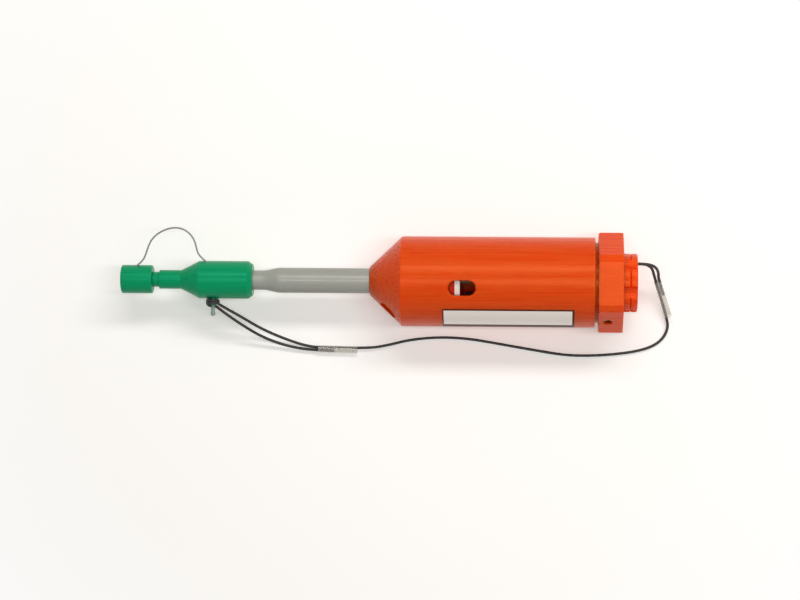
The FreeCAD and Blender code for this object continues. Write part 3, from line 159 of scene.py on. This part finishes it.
# ---- The lanyard cord, its two strands, its loop through the plug and the knot on the guide cap
# Braided nylon phone-strap cord, 1 mm thick: one run under the pen between two clear
# sleeves, two strands from the front sleeve to the guide cap, and a loop through the plug.

def smooth_line(name, route):
    """An object with one smooth curve along a route's points, and the points read from it."""
    curve = bpy.data.curves.new(name, "CURVE")
    curve.dimensions = "3D"
    spline = curve.splines.new("NURBS")
    spline.points.add(len(route) - 1)
    for point, here in zip(spline.points, route):
        point.co = (*here, 1)
    spline.order_u = 3
    spline.use_endpoint_u = True
    spline.resolution_u = 24
    holder = bpy.data.objects.new(name, curve)
    scene.collection.objects.link(holder)
    line = bpy.data.meshes.new_from_object(holder)
    return holder, [v.co.copy() for v in line.vertices]


def braided_cord(name, route, radius, material):
    """A round braid along a route: crossed yarns stand up from the cord as small diamonds."""
    lobes = 6
    plait = 0.0008
    depth = 0.06
    millimetre = 0.001
    holder, path = smooth_line(name + "_line", route)
    curve = holder.data
    curve.bevel_depth = radius
    curve.bevel_resolution = 10
    curve.use_fill_caps = True
    mesh = bpy.data.meshes.new_from_object(holder)
    bpy.data.objects.remove(holder)
    around = 24
    # The mesh's first two rings are the cord's flat ends: they stay as they are, and the braid is on the rest.
    flat_ends = 2
    rings = len(mesh.vertices) // around
    uv = mesh.uv_layers[0] if mesh.uv_layers else mesh.uv_layers.new(name="UVMap")
    travel = [0.0] * len(mesh.vertices)
    turn = [0.0] * len(mesh.vertices)
    gone = 0.0
    before = None
    for ring in range(rings):
        ids = range(ring * around, (ring + 1) * around)
        centre = sum((mesh.vertices[i].co for i in ids), Vector()) / around
        if ring >= flat_ends:
            gone += (centre - before).length if before else 0.0
            before = centre
        for k, i in enumerate(ids):
            travel[i] = gone
            turn[i] = k / around
            if ring >= flat_ends:
                left = math.sin(lobes / 2 * math.tau * k / around + math.tau * gone / plait)
                right = math.sin(lobes / 2 * math.tau * k / around - math.tau * gone / plait)
                push = 1 - depth + depth * left * right
                mesh.vertices[i].co = centre + (mesh.vertices[i].co - centre) * push
    for loop in mesh.loops:
        uv.data[loop.index].uv = (travel[loop.vertex_index] / millimetre, turn[loop.vertex_index])
    mesh.name = name
    mesh.materials.clear()
    mesh.materials.append(material)
    for face in mesh.polygons:
        face.use_smooth = True
    cord = bpy.data.objects.new(name, mesh)
    scene.collection.objects.link(cord)
    return cord, path


# Nylon, piece-dyed black: a dark grey-brown with a dull sheen. Its colour is a little paler on each yarn's
# crown and darker in the hollows between, as painted highlight and painted shade.
black_nylon = bpy.data.materials.new("black_braided_nylon")
tree = bare_tree(black_nylon)
place = add(tree, "ShaderNodeTexCoord", {}, {})
plait_wave = add(tree, "ShaderNodeTexWave",
                 {"wave_type": "BANDS", "bands_direction": "DIAGONAL", "Scale": 0.9, "Distortion": 0.6},
                 {"Vector": place.outputs["UV"]})
lint = add(tree, "ShaderNodeTexNoise", {"Scale": 900.0, "Detail": 3.0},
           {"Vector": place.outputs["Object"]})
# Painted highlight and shade: the tone follows the plait's relief, paler on the crowns and darker in the
# hollows.
tone = add(tree, "ShaderNodeMix", {"data_type": "RGBA", 6: linear("0C0A09"), 7: linear("24201D")},
           {"Factor": plait_wave.outputs["Fac"]})
tone = add(tree, "ShaderNodeMix", {"data_type": "RGBA", "blend_type": "MULTIPLY", "Factor": 0.5},
           {6: tone.outputs[2], 7: lint.outputs["Color"]})
yarn = add(tree, "ShaderNodeBump", {"Strength": 0.4, "Distance": 0.00005},
           {"Height": plait_wave.outputs["Fac"]})
cord_shader = add(tree, "ShaderNodeBsdfPrincipled",
                  {"Roughness": 0.62, "IOR": 1.53, "Sheen Weight": 0.08, "Sheen Roughness": 0.5},
                  {"Base Color": tone.outputs[2], "Normal": yarn.outputs[0]})
add(tree, "ShaderNodeOutputMaterial", {}, {"Surface": cord_shader.outputs[0]})

# The crowns of the yarns are at the cord's radius, and the hollows between them lie a little lower.
cord_thickness = 0.00100
cord_radius = cord_thickness / 2

main_route = [
    (0.092597, 0.000232, 0.0074), (0.096897, -0.012667, 0.001811), (0.0968, -0.0163, 0.0009),
    (0.0948, -0.0196, 0.0006), (0.0913, -0.0219, 0.0006), (0.0862, -0.0234, 0.0006),
    (0.0793, -0.0244, 0.0006), (0.0709, -0.0250, 0.0006), (0.0625, -0.0249, 0.0006),
    (0.0523, -0.0233, 0.0006), (0.0404, -0.0213, 0.0006), (0.0303, -0.0196, 0.0006),
    (0.0201, -0.0191, 0.0006), (0.0100, -0.0201, 0.0006), (0.0031, -0.0219, 0.0007),
    (-0.004389, -0.023247, 0.0014), (-0.020985, -0.022870, 0.0014),
]
main_run, path = braided_cord("lanyard_run", main_route, cord_radius, black_nylon)
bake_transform(main_run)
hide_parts("strap_cord")

upper_route = [
    (-0.020985, -0.022870, 0.0014), (-0.023984, -0.022802, 0.0014), (-0.0315, -0.0205, 0.0018),
    (-0.0399, -0.0168, 0.0050), (-0.0465, -0.0125, 0.0096), (-0.0512, -0.0096, 0.0132),
    (-0.0537, -0.0081, 0.0142),
]
upper_strand, path = braided_cord("lanyard_strand_upper", upper_route, cord_radius, black_nylon)
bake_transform(upper_strand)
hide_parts("strap_strand_upper")

lower_route = [
    (-0.015710, -0.024050, 0.0014), (-0.024408, -0.023853, 0.0014), (-0.0331, -0.0222, 0.0020),
    (-0.0406, -0.0191, 0.0048), (-0.0473, -0.0146, 0.0092), (-0.0523, -0.0108, 0.0124),
    (-0.0546, -0.0089, 0.0134),
]
lower_strand, path = braided_cord("lanyard_strand_lower", lower_route, cord_radius, black_nylon)
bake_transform(lower_strand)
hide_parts("strap_strand_lower")

loop_route = [
    (0.092597, 0.000232, 0.0074), (0.091837, 0.002514, 0.008389), (0.0912, 0.0046, 0.0109),
    (0.0899, 0.0058, 0.0127), (0.0880, 0.0063, 0.01345), (0.08605, 0.0063, 0.01345),
    (0.08505, 0.0063, 0.01345), (0.0834, 0.0063, 0.0137), (0.0834, 0.0063, 0.0163),
    (0.08505, 0.0063, 0.01655), (0.08605, 0.0063, 0.01655), (0.0886, 0.0063, 0.01655),
    (0.0910, 0.0059, 0.0155), (0.0926, 0.0048, 0.0131), (0.0933, 0.0031, 0.0102),
    (0.093340, 0.001357, 0.007742), (0.095153, -0.004083, 0.005385),
]
plug_loop, path = braided_cord("lanyard_plug_loop", loop_route, cord_radius, black_nylon)
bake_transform(plug_loop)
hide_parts("strap_loop_rear")

# The knot: two turns hauled tight round the guide cap's post, and the bight that locks them.
pen_height = 0.015
post = Vector((-0.05535, 0, pen_height))
turn_radius = 0.00192
first_turn = -0.00687
turn_pitch = 0.00086
first_angle = -40
step_angle = 30
steps_before_cross = 7
steps_to_cross = 8
knot_route = []
for step in range(23):
    angle = math.radians(first_angle - step_angle * step)
    crossed = min(max((step - steps_before_cross) / steps_to_cross, 0), 1)
    knot_route.append((post.x + turn_radius * math.cos(angle),
                       first_turn - turn_pitch * crossed,
                       post.z + turn_radius * math.sin(angle)))
knot, _ = braided_cord("lanyard_knot", knot_route, cord_radius, black_nylon)
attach(knot, "guide_cap")
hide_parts("strap_hitch")

bight_route = [
    (-0.0562, -0.0062, 0.0162), (-0.0567, -0.0066, 0.0171), (-0.0570, -0.0073, 0.0171),
    (-0.0571, -0.0080, 0.0164), (-0.0568, -0.0086, 0.0150), (-0.0561, -0.0088, 0.0140),
    (-0.0553, -0.0089, 0.0135), (-0.0546, -0.0089, 0.0134),
]
bight, _ = braided_cord("lanyard_bight", bight_route, cord_radius, black_nylon)
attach(bight, "guide_cap")


# ---- The dust cap's tether
# Nylon monofilament, drawn and springy: its ends are set into the two caps, and it bows out sideways between
# them in one arch. It is drawn a little thicker than the solid it stands for.

# Clear nylon: grey and half see-through, smooth, with a faint milkiness along its length.
monofilament = bpy.data.materials.new("grey_nylon_monofilament")
tree = bare_tree(monofilament)
place = add(tree, "ShaderNodeTexCoord", {}, {})
milk = add(tree, "ShaderNodeTexNoise", {"Scale": 400.0, "Detail": 2.0},
           {"Vector": place.outputs["Object"]})
tone = add(tree, "ShaderNodeMix", {"data_type": "RGBA", 6: linear("868884"), 7: linear("AAACA6")},
           {"Factor": milk.outputs["Fac"]})
filament_shader = add(tree, "ShaderNodeBsdfPrincipled",
                      {"Roughness": 0.3, "IOR": 1.53, "Transmission Weight": 0.25},
                      {"Base Color": tone.outputs[2]})
add(tree, "ShaderNodeOutputMaterial", {}, {"Surface": filament_shader.outputs[0]})


def plain_wire(name, route, radius, material):
    """A smooth round wire along a route, and the points of its middle line."""
    holder, path = smooth_line(name + "_line", route)
    holder.data.bevel_depth = radius
    holder.data.bevel_resolution = 4
    holder.data.use_fill_caps = True
    mesh = bpy.data.meshes.new_from_object(holder)
    bpy.data.objects.remove(holder)
    mesh.name = name
    mesh.materials.clear()
    mesh.materials.append(material)
    for face in mesh.polygons:
        face.use_smooth = True
    wire = bpy.data.objects.new(name, mesh)
    scene.collection.objects.link(wire)
    return wire, path


tether_height = 0.0168
tether_route = [
    (-0.0820, 0.0035, tether_height), (-0.0800, 0.0051, tether_height), (-0.0784, 0.0068, tether_height),
    (-0.0775, 0.0092, tether_height), (-0.0767, 0.0117, tether_height), (-0.0754, 0.0139, tether_height),
    (-0.0731, 0.0158, tether_height), (-0.0703, 0.0170, tether_height), (-0.0676, 0.0174, tether_height),
    (-0.0650, 0.0168, tether_height), (-0.0628, 0.0152, tether_height), (-0.0614, 0.0130, tether_height),
    (-0.0608, 0.0106, tether_height), (-0.0602, 0.0086, tether_height), (-0.0585, 0.0068, tether_height),
    (-0.0564, 0.0052, tether_height),
]
tether_thickness = 0.00058
tether, path = plain_wire("dust_cap_tether", tether_route, tether_thickness / 2, monofilament)
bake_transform(tether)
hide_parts("cap_tether")


# ---- The clear sleeves and the knot's anchor
# Clear plasticised PVC tube, pushed over the cords' ends; the anchor is a short end of the
# same tube over the knot's cut ends.

def dress(node, material):
    """Gives a solid of the frame its finish."""
    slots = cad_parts[node].data.materials
    slots.clear()
    slots.append(material)


# Plasticised PVC: clear with a grey-white haze, soft gloss and a waviness from its extrusion.
clear_vinyl = bpy.data.materials.new("clear_extruded_vinyl")
tree = bare_tree(clear_vinyl)
place = add(tree, "ShaderNodeTexCoord", {}, {})
haze = add(tree, "ShaderNodeTexNoise", {"Scale": 350.0, "Detail": 2.0},
           {"Vector": place.outputs["Object"]})
tone = add(tree, "ShaderNodeMix", {"data_type": "RGBA", 6: linear("EDEAE2"), 7: linear("FBF9F3")},
           {"Factor": haze.outputs["Fac"]})
wavy = add(tree, "ShaderNodeBump", {"Strength": 0.06, "Distance": 0.0001},
           {"Height": haze.outputs["Fac"]})
vinyl_shader = add(tree, "ShaderNodeBsdfPrincipled",
                   {"Roughness": 0.08, "IOR": 1.5, "Transmission Weight": 0.90},
                   {"Base Color": tone.outputs[2], "Normal": wavy.outputs[0]})
add(tree, "ShaderNodeOutputMaterial", {}, {"Surface": vinyl_shader.outputs[0]})

for node in ("strap_sleeve_front", "strap_sleeve_rear"):
    dress(node, clear_vinyl)

# The same tube on the knot, darkened by the dyed cord ends inside it, and tinted green as painted light from
# the green cap behind it.
dyed_vinyl_painted_green = bpy.data.materials.new("stained_vinyl_end")
tree = bare_tree(dyed_vinyl_painted_green)
place = add(tree, "ShaderNodeTexCoord", {}, {})
haze = add(tree, "ShaderNodeTexNoise", {"Scale": 500.0, "Detail": 2.0},
           {"Vector": place.outputs["Object"]})
# Painted light: the green in these tones stands for the green cap seen through the tube.
tone = add(tree, "ShaderNodeMix", {"data_type": "RGBA", 6: linear("7C958B"), 7: linear("A9BCB2")},
           {"Factor": haze.outputs["Fac"]})
vinyl_end_shader = add(tree, "ShaderNodeBsdfPrincipled",
                   {"Roughness": 0.3, "IOR": 1.5, "Transmission Weight": 0.45},
                   {"Base Color": tone.outputs[2]})
add(tree, "ShaderNodeOutputMaterial", {}, {"Surface": vinyl_end_shader.outputs[0]})
dress("tether_anchor", dyed_vinyl_painted_green)


# ---- The housing, the end cap and the plug
# ABS, injection moulded in one orange and polished along its length: a soft gloss, fine
# lengthwise draw marks, and a little paler where handling has rubbed it.

def moulded_plastic(name, low, high, rubbed, gloss, drawn_mm, sheen="FFFFFF", sheer_mm=0.0, shine=0.34):
    """A moulded plastic with two close tones, draw marks along the pen, rubbed places and painted shade in its
    corners.

    drawn_mm is the width of a draw mark, and sheer_mm is how far light travels inside the wall.
    """
    material = bpy.data.materials.new(name)
    tree = bare_tree(material)
    place = add(tree, "ShaderNodeTexCoord", {}, {})
    cloud = add(tree, "ShaderNodeTexNoise", {"Scale": 160.0, "Detail": 3.0},
                {"Vector": place.outputs["Object"]})
    stretched = add(tree, "ShaderNodeMapping", {"Scale": (0.03, 1.0, 1.0)},
                    {"Vector": place.outputs["Object"]})
    drawn = add(tree, "ShaderNodeTexNoise", {"Scale": 1000 / drawn_mm, "Detail": 4.0, "Roughness": 0.6},
                {"Vector": stretched.outputs[0]})
    grain = add(tree, "ShaderNodeTexNoise", {"Scale": 2500.0, "Detail": 2.0},
                {"Vector": place.outputs["Object"]})
    tone = add(tree, "ShaderNodeMix", {"data_type": "RGBA", 6: linear(low), 7: linear(high)},
               {"Factor": cloud.outputs["Fac"]})
    streak = add(tree, "ShaderNodeMapRange",
                 {"From Min": 0.35, "From Max": 0.7, "To Min": 0.0, "To Max": 0.30},
                 {"Value": drawn.outputs["Fac"]})
    tone = add(tree, "ShaderNodeMix", {"data_type": "RGBA", 7: linear(rubbed)},
               {"Factor": streak.outputs[0], 6: tone.outputs[2]})
    # Painted shade: the colour is darkened in corners and crevices within 1.2 mm, where shade falls.
    open_sky = add(tree, "ShaderNodeAmbientOcclusion", {"Distance": 0.0012, "samples": 8}, {})
    painted_corner_shade = add(tree, "ShaderNodeMapRange",
                {"From Min": 0.25, "From Max": 0.8, "To Min": 0.22, "To Max": 1.0},
                {"Value": open_sky.outputs["AO"]})
    tone = add(tree, "ShaderNodeMix", {"data_type": "RGBA", "blend_type": "MULTIPLY", "Factor": 1.0},
               {6: tone.outputs[2], 7: painted_corner_shade.outputs[0]})
    dull = add(tree, "ShaderNodeMapRange",
               {"From Min": 0.3, "From Max": 0.7, "To Min": gloss - 0.05, "To Max": gloss + 0.09},
               {"Value": drawn.outputs["Fac"]})
    mixed = add(tree, "ShaderNodeMath", {"operation": "MULTIPLY_ADD", 1: 0.25},
                {0: grain.outputs["Fac"], 2: drawn.outputs["Fac"]})
    skin = add(tree, "ShaderNodeBump", {"Strength": 0.12, "Distance": 0.00006},
               {"Height": mixed.outputs[0]})
    shader = add(tree, "ShaderNodeBsdfPrincipled",
                 {"IOR": 1.53, "Specular IOR Level": shine, "Specular Tint": linear(sheen),
                  "Subsurface Weight": 1.0 if sheer_mm else 0.0,
                  "Subsurface Radius": (1.0, 0.25, 0.08), "Subsurface Scale": sheer_mm / 1000},
                 {"Base Color": tone.outputs[2], "Roughness": dull.outputs[0], "Normal": skin.outputs[0]})
    add(tree, "ShaderNodeOutputMaterial", {}, {"Surface": shader.outputs[0]})
    return material


# ABS, coloured right through: a strong orange whose reflections stay warm, and thin walls that glow a little.
orange_abs = moulded_plastic("orange_moulded_abs", "EC4200", "F24C02", "F86E22", 0.27, 0.9, "FFB070", 3.5)
for node in ("housing", "end_cap", "refill_plug"):
    dress(node, orange_abs)

# The carriage is the same orange, unpolished, made darker and redder as painted shade for where it lies deep in
# the shade of the housing's window.
orange_with_painted_shade = moulded_plastic("inner_orange_abs", "A81C08", "B4240C", "C23614", 0.5, 0.7, "FFB070")
dress("carriage", orange_with_painted_shade)


# ---- The label
# A blank film label, cut square, with a thin dark printed frame; the broad dark bar along its lower edge is
# painted shade along the label's lower edge. It is stuck to the housing's side and bent to its curve.

label_low, label_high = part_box("label_plate")
label_radius = 0.01512
label_start = math.radians(10)
label_end = math.atan2(label_high.z - pen_height, -label_high.y)

# Polyester film over paper: warm white and satin, and duller where the dark brown frame is printed and on the
# bar of painted shade.
label_film = bpy.data.materials.new("satin_label_film")
tree = bare_tree(label_film)
place = add(tree, "ShaderNodeTexCoord", {}, {})
spread = add(tree, "ShaderNodeSeparateXYZ", {}, {"Vector": place.outputs["UV"]})
print_and_painted_shade_mask = None
# The lower edge's 3.2 mm bar is painted shade; the other three sides are a thin printed frame.
for axis, near_bar, far_bar, size in (("X", 0.4, 0.7, (label_high.x - label_low.x) * 1000),
                                      ("Y", 3.2, 0.5, label_radius * (label_end - label_start) * 1000)):
    middle = (size + near_bar - far_bar) / 2
    reach = (size - near_bar - far_bar) / 2
    across = add(tree, "ShaderNodeMath", {"operation": "SUBTRACT", 1: middle}, {0: spread.outputs[axis]})
    off = add(tree, "ShaderNodeMath", {"operation": "ABSOLUTE"}, {0: across.outputs[0]})
    edge = add(tree, "ShaderNodeMapRange",
               {"From Min": reach - 0.05, "From Max": reach + 0.05}, {"Value": off.outputs[0]})
    if print_and_painted_shade_mask is None:
        print_and_painted_shade_mask = edge
    else:
        print_and_painted_shade_mask = add(tree, "ShaderNodeMath", {"operation": "MAXIMUM"},
                         {0: print_and_painted_shade_mask.outputs[0], 1: edge.outputs[0]})
fibre = add(tree, "ShaderNodeTexNoise", {"Scale": 600.0, "Detail": 4.0},
            {"Vector": place.outputs["Object"]})
paper_tone = add(tree, "ShaderNodeMix", {"data_type": "RGBA", 6: linear("FFF0E6"), 7: linear("FFF7F0")},
                 {"Factor": fibre.outputs["Fac"]})
tone = add(tree, "ShaderNodeMix", {"data_type": "RGBA", 7: linear("5A2A1E")},
           {"Factor": print_and_painted_shade_mask.outputs[0], 6: paper_tone.outputs[2]})
film_gloss = add(tree, "ShaderNodeMath", {"operation": "SUBTRACT", 0: 1.0}, {1: print_and_painted_shade_mask.outputs[0]})
film_skin = add(tree, "ShaderNodeBump", {"Strength": 0.15, "Distance": 0.00005},
                {"Height": fibre.outputs["Fac"]})
film_shader = add(tree, "ShaderNodeBsdfPrincipled",
                  {"Roughness": 0.3, "IOR": 1.5, "Coat Roughness": 0.15,
                   "Sheen Weight": 0.5, "Sheen Roughness": 0.4},
                  {"Base Color": tone.outputs[2], "Normal": film_skin.outputs[0],
                   "Specular IOR Level": film_gloss.outputs[0], "Coat Weight": film_gloss.outputs[0]})
add(tree, "ShaderNodeOutputMaterial", {}, {"Surface": film_shader.outputs[0]})

label_mesh = bpy.data.meshes.new("label")
film = bmesh.new()
corner = film.verts.new((label_low.x, -label_radius * math.cos(label_start),
                         pen_height + label_radius * math.sin(label_start)))
bmesh.ops.extrude_vert_indiv(film, verts=[corner])
film.verts.ensure_lookup_table()
film.verts[1].co.x = label_high.x
bmesh.ops.spin(film, geom=film.edges[:] + film.verts[:], cent=(0, 0, pen_height), axis=(1, 0, 0),
               dvec=(0, 0, 0), angle=label_start - label_end, steps=20, use_merge=False)
film.normal_update()
uv_layer = film.loops.layers.uv.new("UVMap")
for face in film.faces:
    for loop in face.loops:
        here = loop.vert.co
        round_it = math.atan2(here.z - pen_height, -here.y) - label_start
        loop[uv_layer].uv = ((here.x - label_low.x) * 1000, round_it * label_radius * 1000)
film.to_mesh(label_mesh)
film.free()
label_mesh.materials.append(label_film)
for face in label_mesh.polygons:
    face.use_smooth = True
label = bpy.data.objects.new("label", label_mesh)
scene.collection.objects.link(label)
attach(label, "housing")
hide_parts("label_plate")


# ---- The nozzle
# PBT tube, moulded pale grey, with a smooth satin skin: it slides in the housing's bush, so
# its shank carries faint lengthwise rubbing.

grey_pbt = moulded_plastic("grey_moulded_pbt", "96988F", "A0A29A", "B4B6AE", 0.32, 0.7, shine=0.6)
dress("nozzle", grey_pbt)


# ---- The guide cap and the dust cap
# A cap that guides a connector's ferrule to the tip, and a small cup that keeps dust off it. Both are moulded
# in green polypropylene, which gives a waxy soft gloss, slightly paler where it is rubbed.

green_pp = moulded_plastic("green_moulded_polypropylene", "008E57", "04985F", "16B078", 0.28, 0.8, "6FFFE0")
for node in ("guide_cap", "dust_cap"):
    dress(node, green_pp)


# ---- The white moulded parts
# The bush, the pinion, the ratchet wheel, the head and the bar in the window, moulded in acetal for its low
# friction: milk white and waxy.

acetal = moulded_plastic("white_acetal", "E6E1D8", "EFEAE2", "F6F3EE", 0.38, 0.8)
for node in ("index_ring", "nose_bush", "drive_pinion", "ratchet_wheel", "cleaning_head"):
    dress(node, acetal)


# ---- The dark moulded parts
# The reels, the rack and the spring's seat, moulded in glass-filled nylon for its stiffness: dark grey, with a
# dull, finely mottled skin.

dark_nylon = moulded_plastic("dark_filled_nylon", "2A2B2D", "333437", "44464A", 0.48, 0.5)
for node in ("spring_seat", "drive_rack", "supply_reel", "take_up_reel"):
    dress(node, dark_nylon)


# ---- The steel parts
# The tip's tube, the axles, the pawl and the spring are stainless steel, turned or drawn: bright, with fine
# marks along the pen. The grub screw is steel blackened in hot oil: dark brown and duller.

def bright_metal(name, colour, roughness, mark_mm):
    """A bare metal with fine drawn marks along the pen."""
    material = bpy.data.materials.new(name)
    tree = bare_tree(material)
    place = add(tree, "ShaderNodeTexCoord", {}, {})
    stretched = add(tree, "ShaderNodeMapping", {"Scale": (0.05, 1.0, 1.0)},
                    {"Vector": place.outputs["Object"]})
    marks = add(tree, "ShaderNodeTexNoise", {"Scale": 1000 / mark_mm, "Detail": 3.0},
                {"Vector": stretched.outputs[0]})
    dull = add(tree, "ShaderNodeMapRange", {"To Min": roughness - 0.06, "To Max": roughness + 0.10},
               {"Value": marks.outputs["Fac"]})
    tone = add(tree, "ShaderNodeMix",
               {"data_type": "RGBA", "blend_type": "MULTIPLY", "Factor": 0.18, 6: linear(colour)},
               {7: marks.outputs["Color"]})
    skin = add(tree, "ShaderNodeBump", {"Strength": 0.08, "Distance": 0.00003},
               {"Height": marks.outputs["Fac"]})
    shader = add(tree, "ShaderNodeBsdfPrincipled", {"Metallic": 1.0},
                 {"Base Color": tone.outputs[2], "Roughness": dull.outputs[0], "Normal": skin.outputs[0]})
    add(tree, "ShaderNodeOutputMaterial", {}, {"Surface": shader.outputs[0]})
    return material


stainless = bright_metal("drawn_stainless_steel", "C9C8C4", 0.28, 0.25)
for node in ("nozzle_tip", "take_up_axle", "supply_axle", "ratchet_pawl", "return_spring"):
    dress(node, stainless)

# The return spring is wound from 1.1 mm wire, with its end turns closed and laid flat.
wire_radius = 0.00055
coil_radius = 0.0094
live_turns = 2.1
flat_turns = 0.7
points_a_turn = 16
coil_start = 0.0656
coil_end = 0.0749
corner_radius = coil_radius / math.cos(math.pi / points_a_turn)
coil_route = []
for step in range(round((live_turns + 2 * flat_turns) * points_a_turn) + 1):
    turns = step / points_a_turn
    climbed = min(max((turns - flat_turns) / live_turns, 0), 1)
    coil_route.append((coil_start + (coil_end - coil_start) * climbed,
                       corner_radius * math.cos(math.tau * turns),
                       pen_height + corner_radius * math.sin(math.tau * turns)))
coil, _ = plain_wire("spring_coil", coil_route, wire_radius, stainless)
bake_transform(coil)
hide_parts("return_spring")

blackened = bright_metal("oil_blackened_steel", "55382E", 0.42, 0.3)
dress("cap_set_screw", blackened)


# ---- The ferrule sleeve
# The liner in the guide cap that centres a connector's ferrule. It is ground from zirconia ceramic: dense
# white, with a high polish.

zirconia = moulded_plastic("ground_zirconia", "EDEBE4", "F4F2EC", "FBFAF6", 0.18, 0.3)
dress("ferrule_sleeve", zirconia)


# ---- The plug's seal
# The O-ring in the plug's groove, moulded in nitrile rubber and stretched into place: matt black with a
# fine bloom.

nitrile = moulded_plastic("black_nitrile_rubber", "141414", "1C1C1B", "2B2B29", 0.62, 0.4)
dress("plug_seal", nitrile)


# ---- The cleaning thread and its windings
# Woven microfibre thread, 0.3 mm thick: white and fluffy, greyed where it has been used.

def wound_thread(name, low, high):
    """Thread laid side by side round a reel: 0.3 mm ridges with a lint of fine fibres, darker in the grooves
    between the ridges as painted shade.
    """
    material = bpy.data.materials.new(name)
    tree = bare_tree(material)
    place = add(tree, "ShaderNodeTexCoord", {}, {})
    # The bands repeat once for each thread along Y, the direction of the reels' axles. The node has 20 radians
    # of wave in a metre at a scale of 1.
    thread_mm = 0.3
    ridges = add(tree, "ShaderNodeTexWave",
                 {"wave_type": "BANDS", "bands_direction": "Y", "Scale": 1000 / (20 * thread_mm) * math.tau,
                  "Distortion": 1.2, "Detail": 2.0},
                 {"Vector": place.outputs["Object"]})
    lint = add(tree, "ShaderNodeTexNoise", {"Scale": 3000.0, "Detail": 3.0},
               {"Vector": place.outputs["Object"]})
    # Painted shade: the tone is darker in the grooves between the turns and paler on their crowns.
    tone = add(tree, "ShaderNodeMix", {"data_type": "RGBA", 6: linear(low), 7: linear(high)},
               {"Factor": ridges.outputs["Fac"]})
    tone = add(tree, "ShaderNodeMix", {"data_type": "RGBA", "blend_type": "MULTIPLY", "Factor": 0.25},
               {6: tone.outputs[2], 7: lint.outputs["Color"]})
    skin = add(tree, "ShaderNodeBump", {"Strength": 0.7, "Distance": 0.0001},
               {"Height": ridges.outputs["Fac"]})
    shader = add(tree, "ShaderNodeBsdfPrincipled", {"Roughness": 0.85, "Sheen Weight": 0.3},
                 {"Base Color": tone.outputs[2], "Normal": skin.outputs[0]})
    add(tree, "ShaderNodeOutputMaterial", {}, {"Surface": shader.outputs[0]})
    return material


fresh_thread = wound_thread("fresh_microfibre_thread", "D9D6CF", "F6F4EF")
for node in ("cleaning_thread", "fresh_winding"):
    dress(node, fresh_thread)
dress("used_winding", wound_thread("used_microfibre_thread", "A39F96", "D2CEC5"))
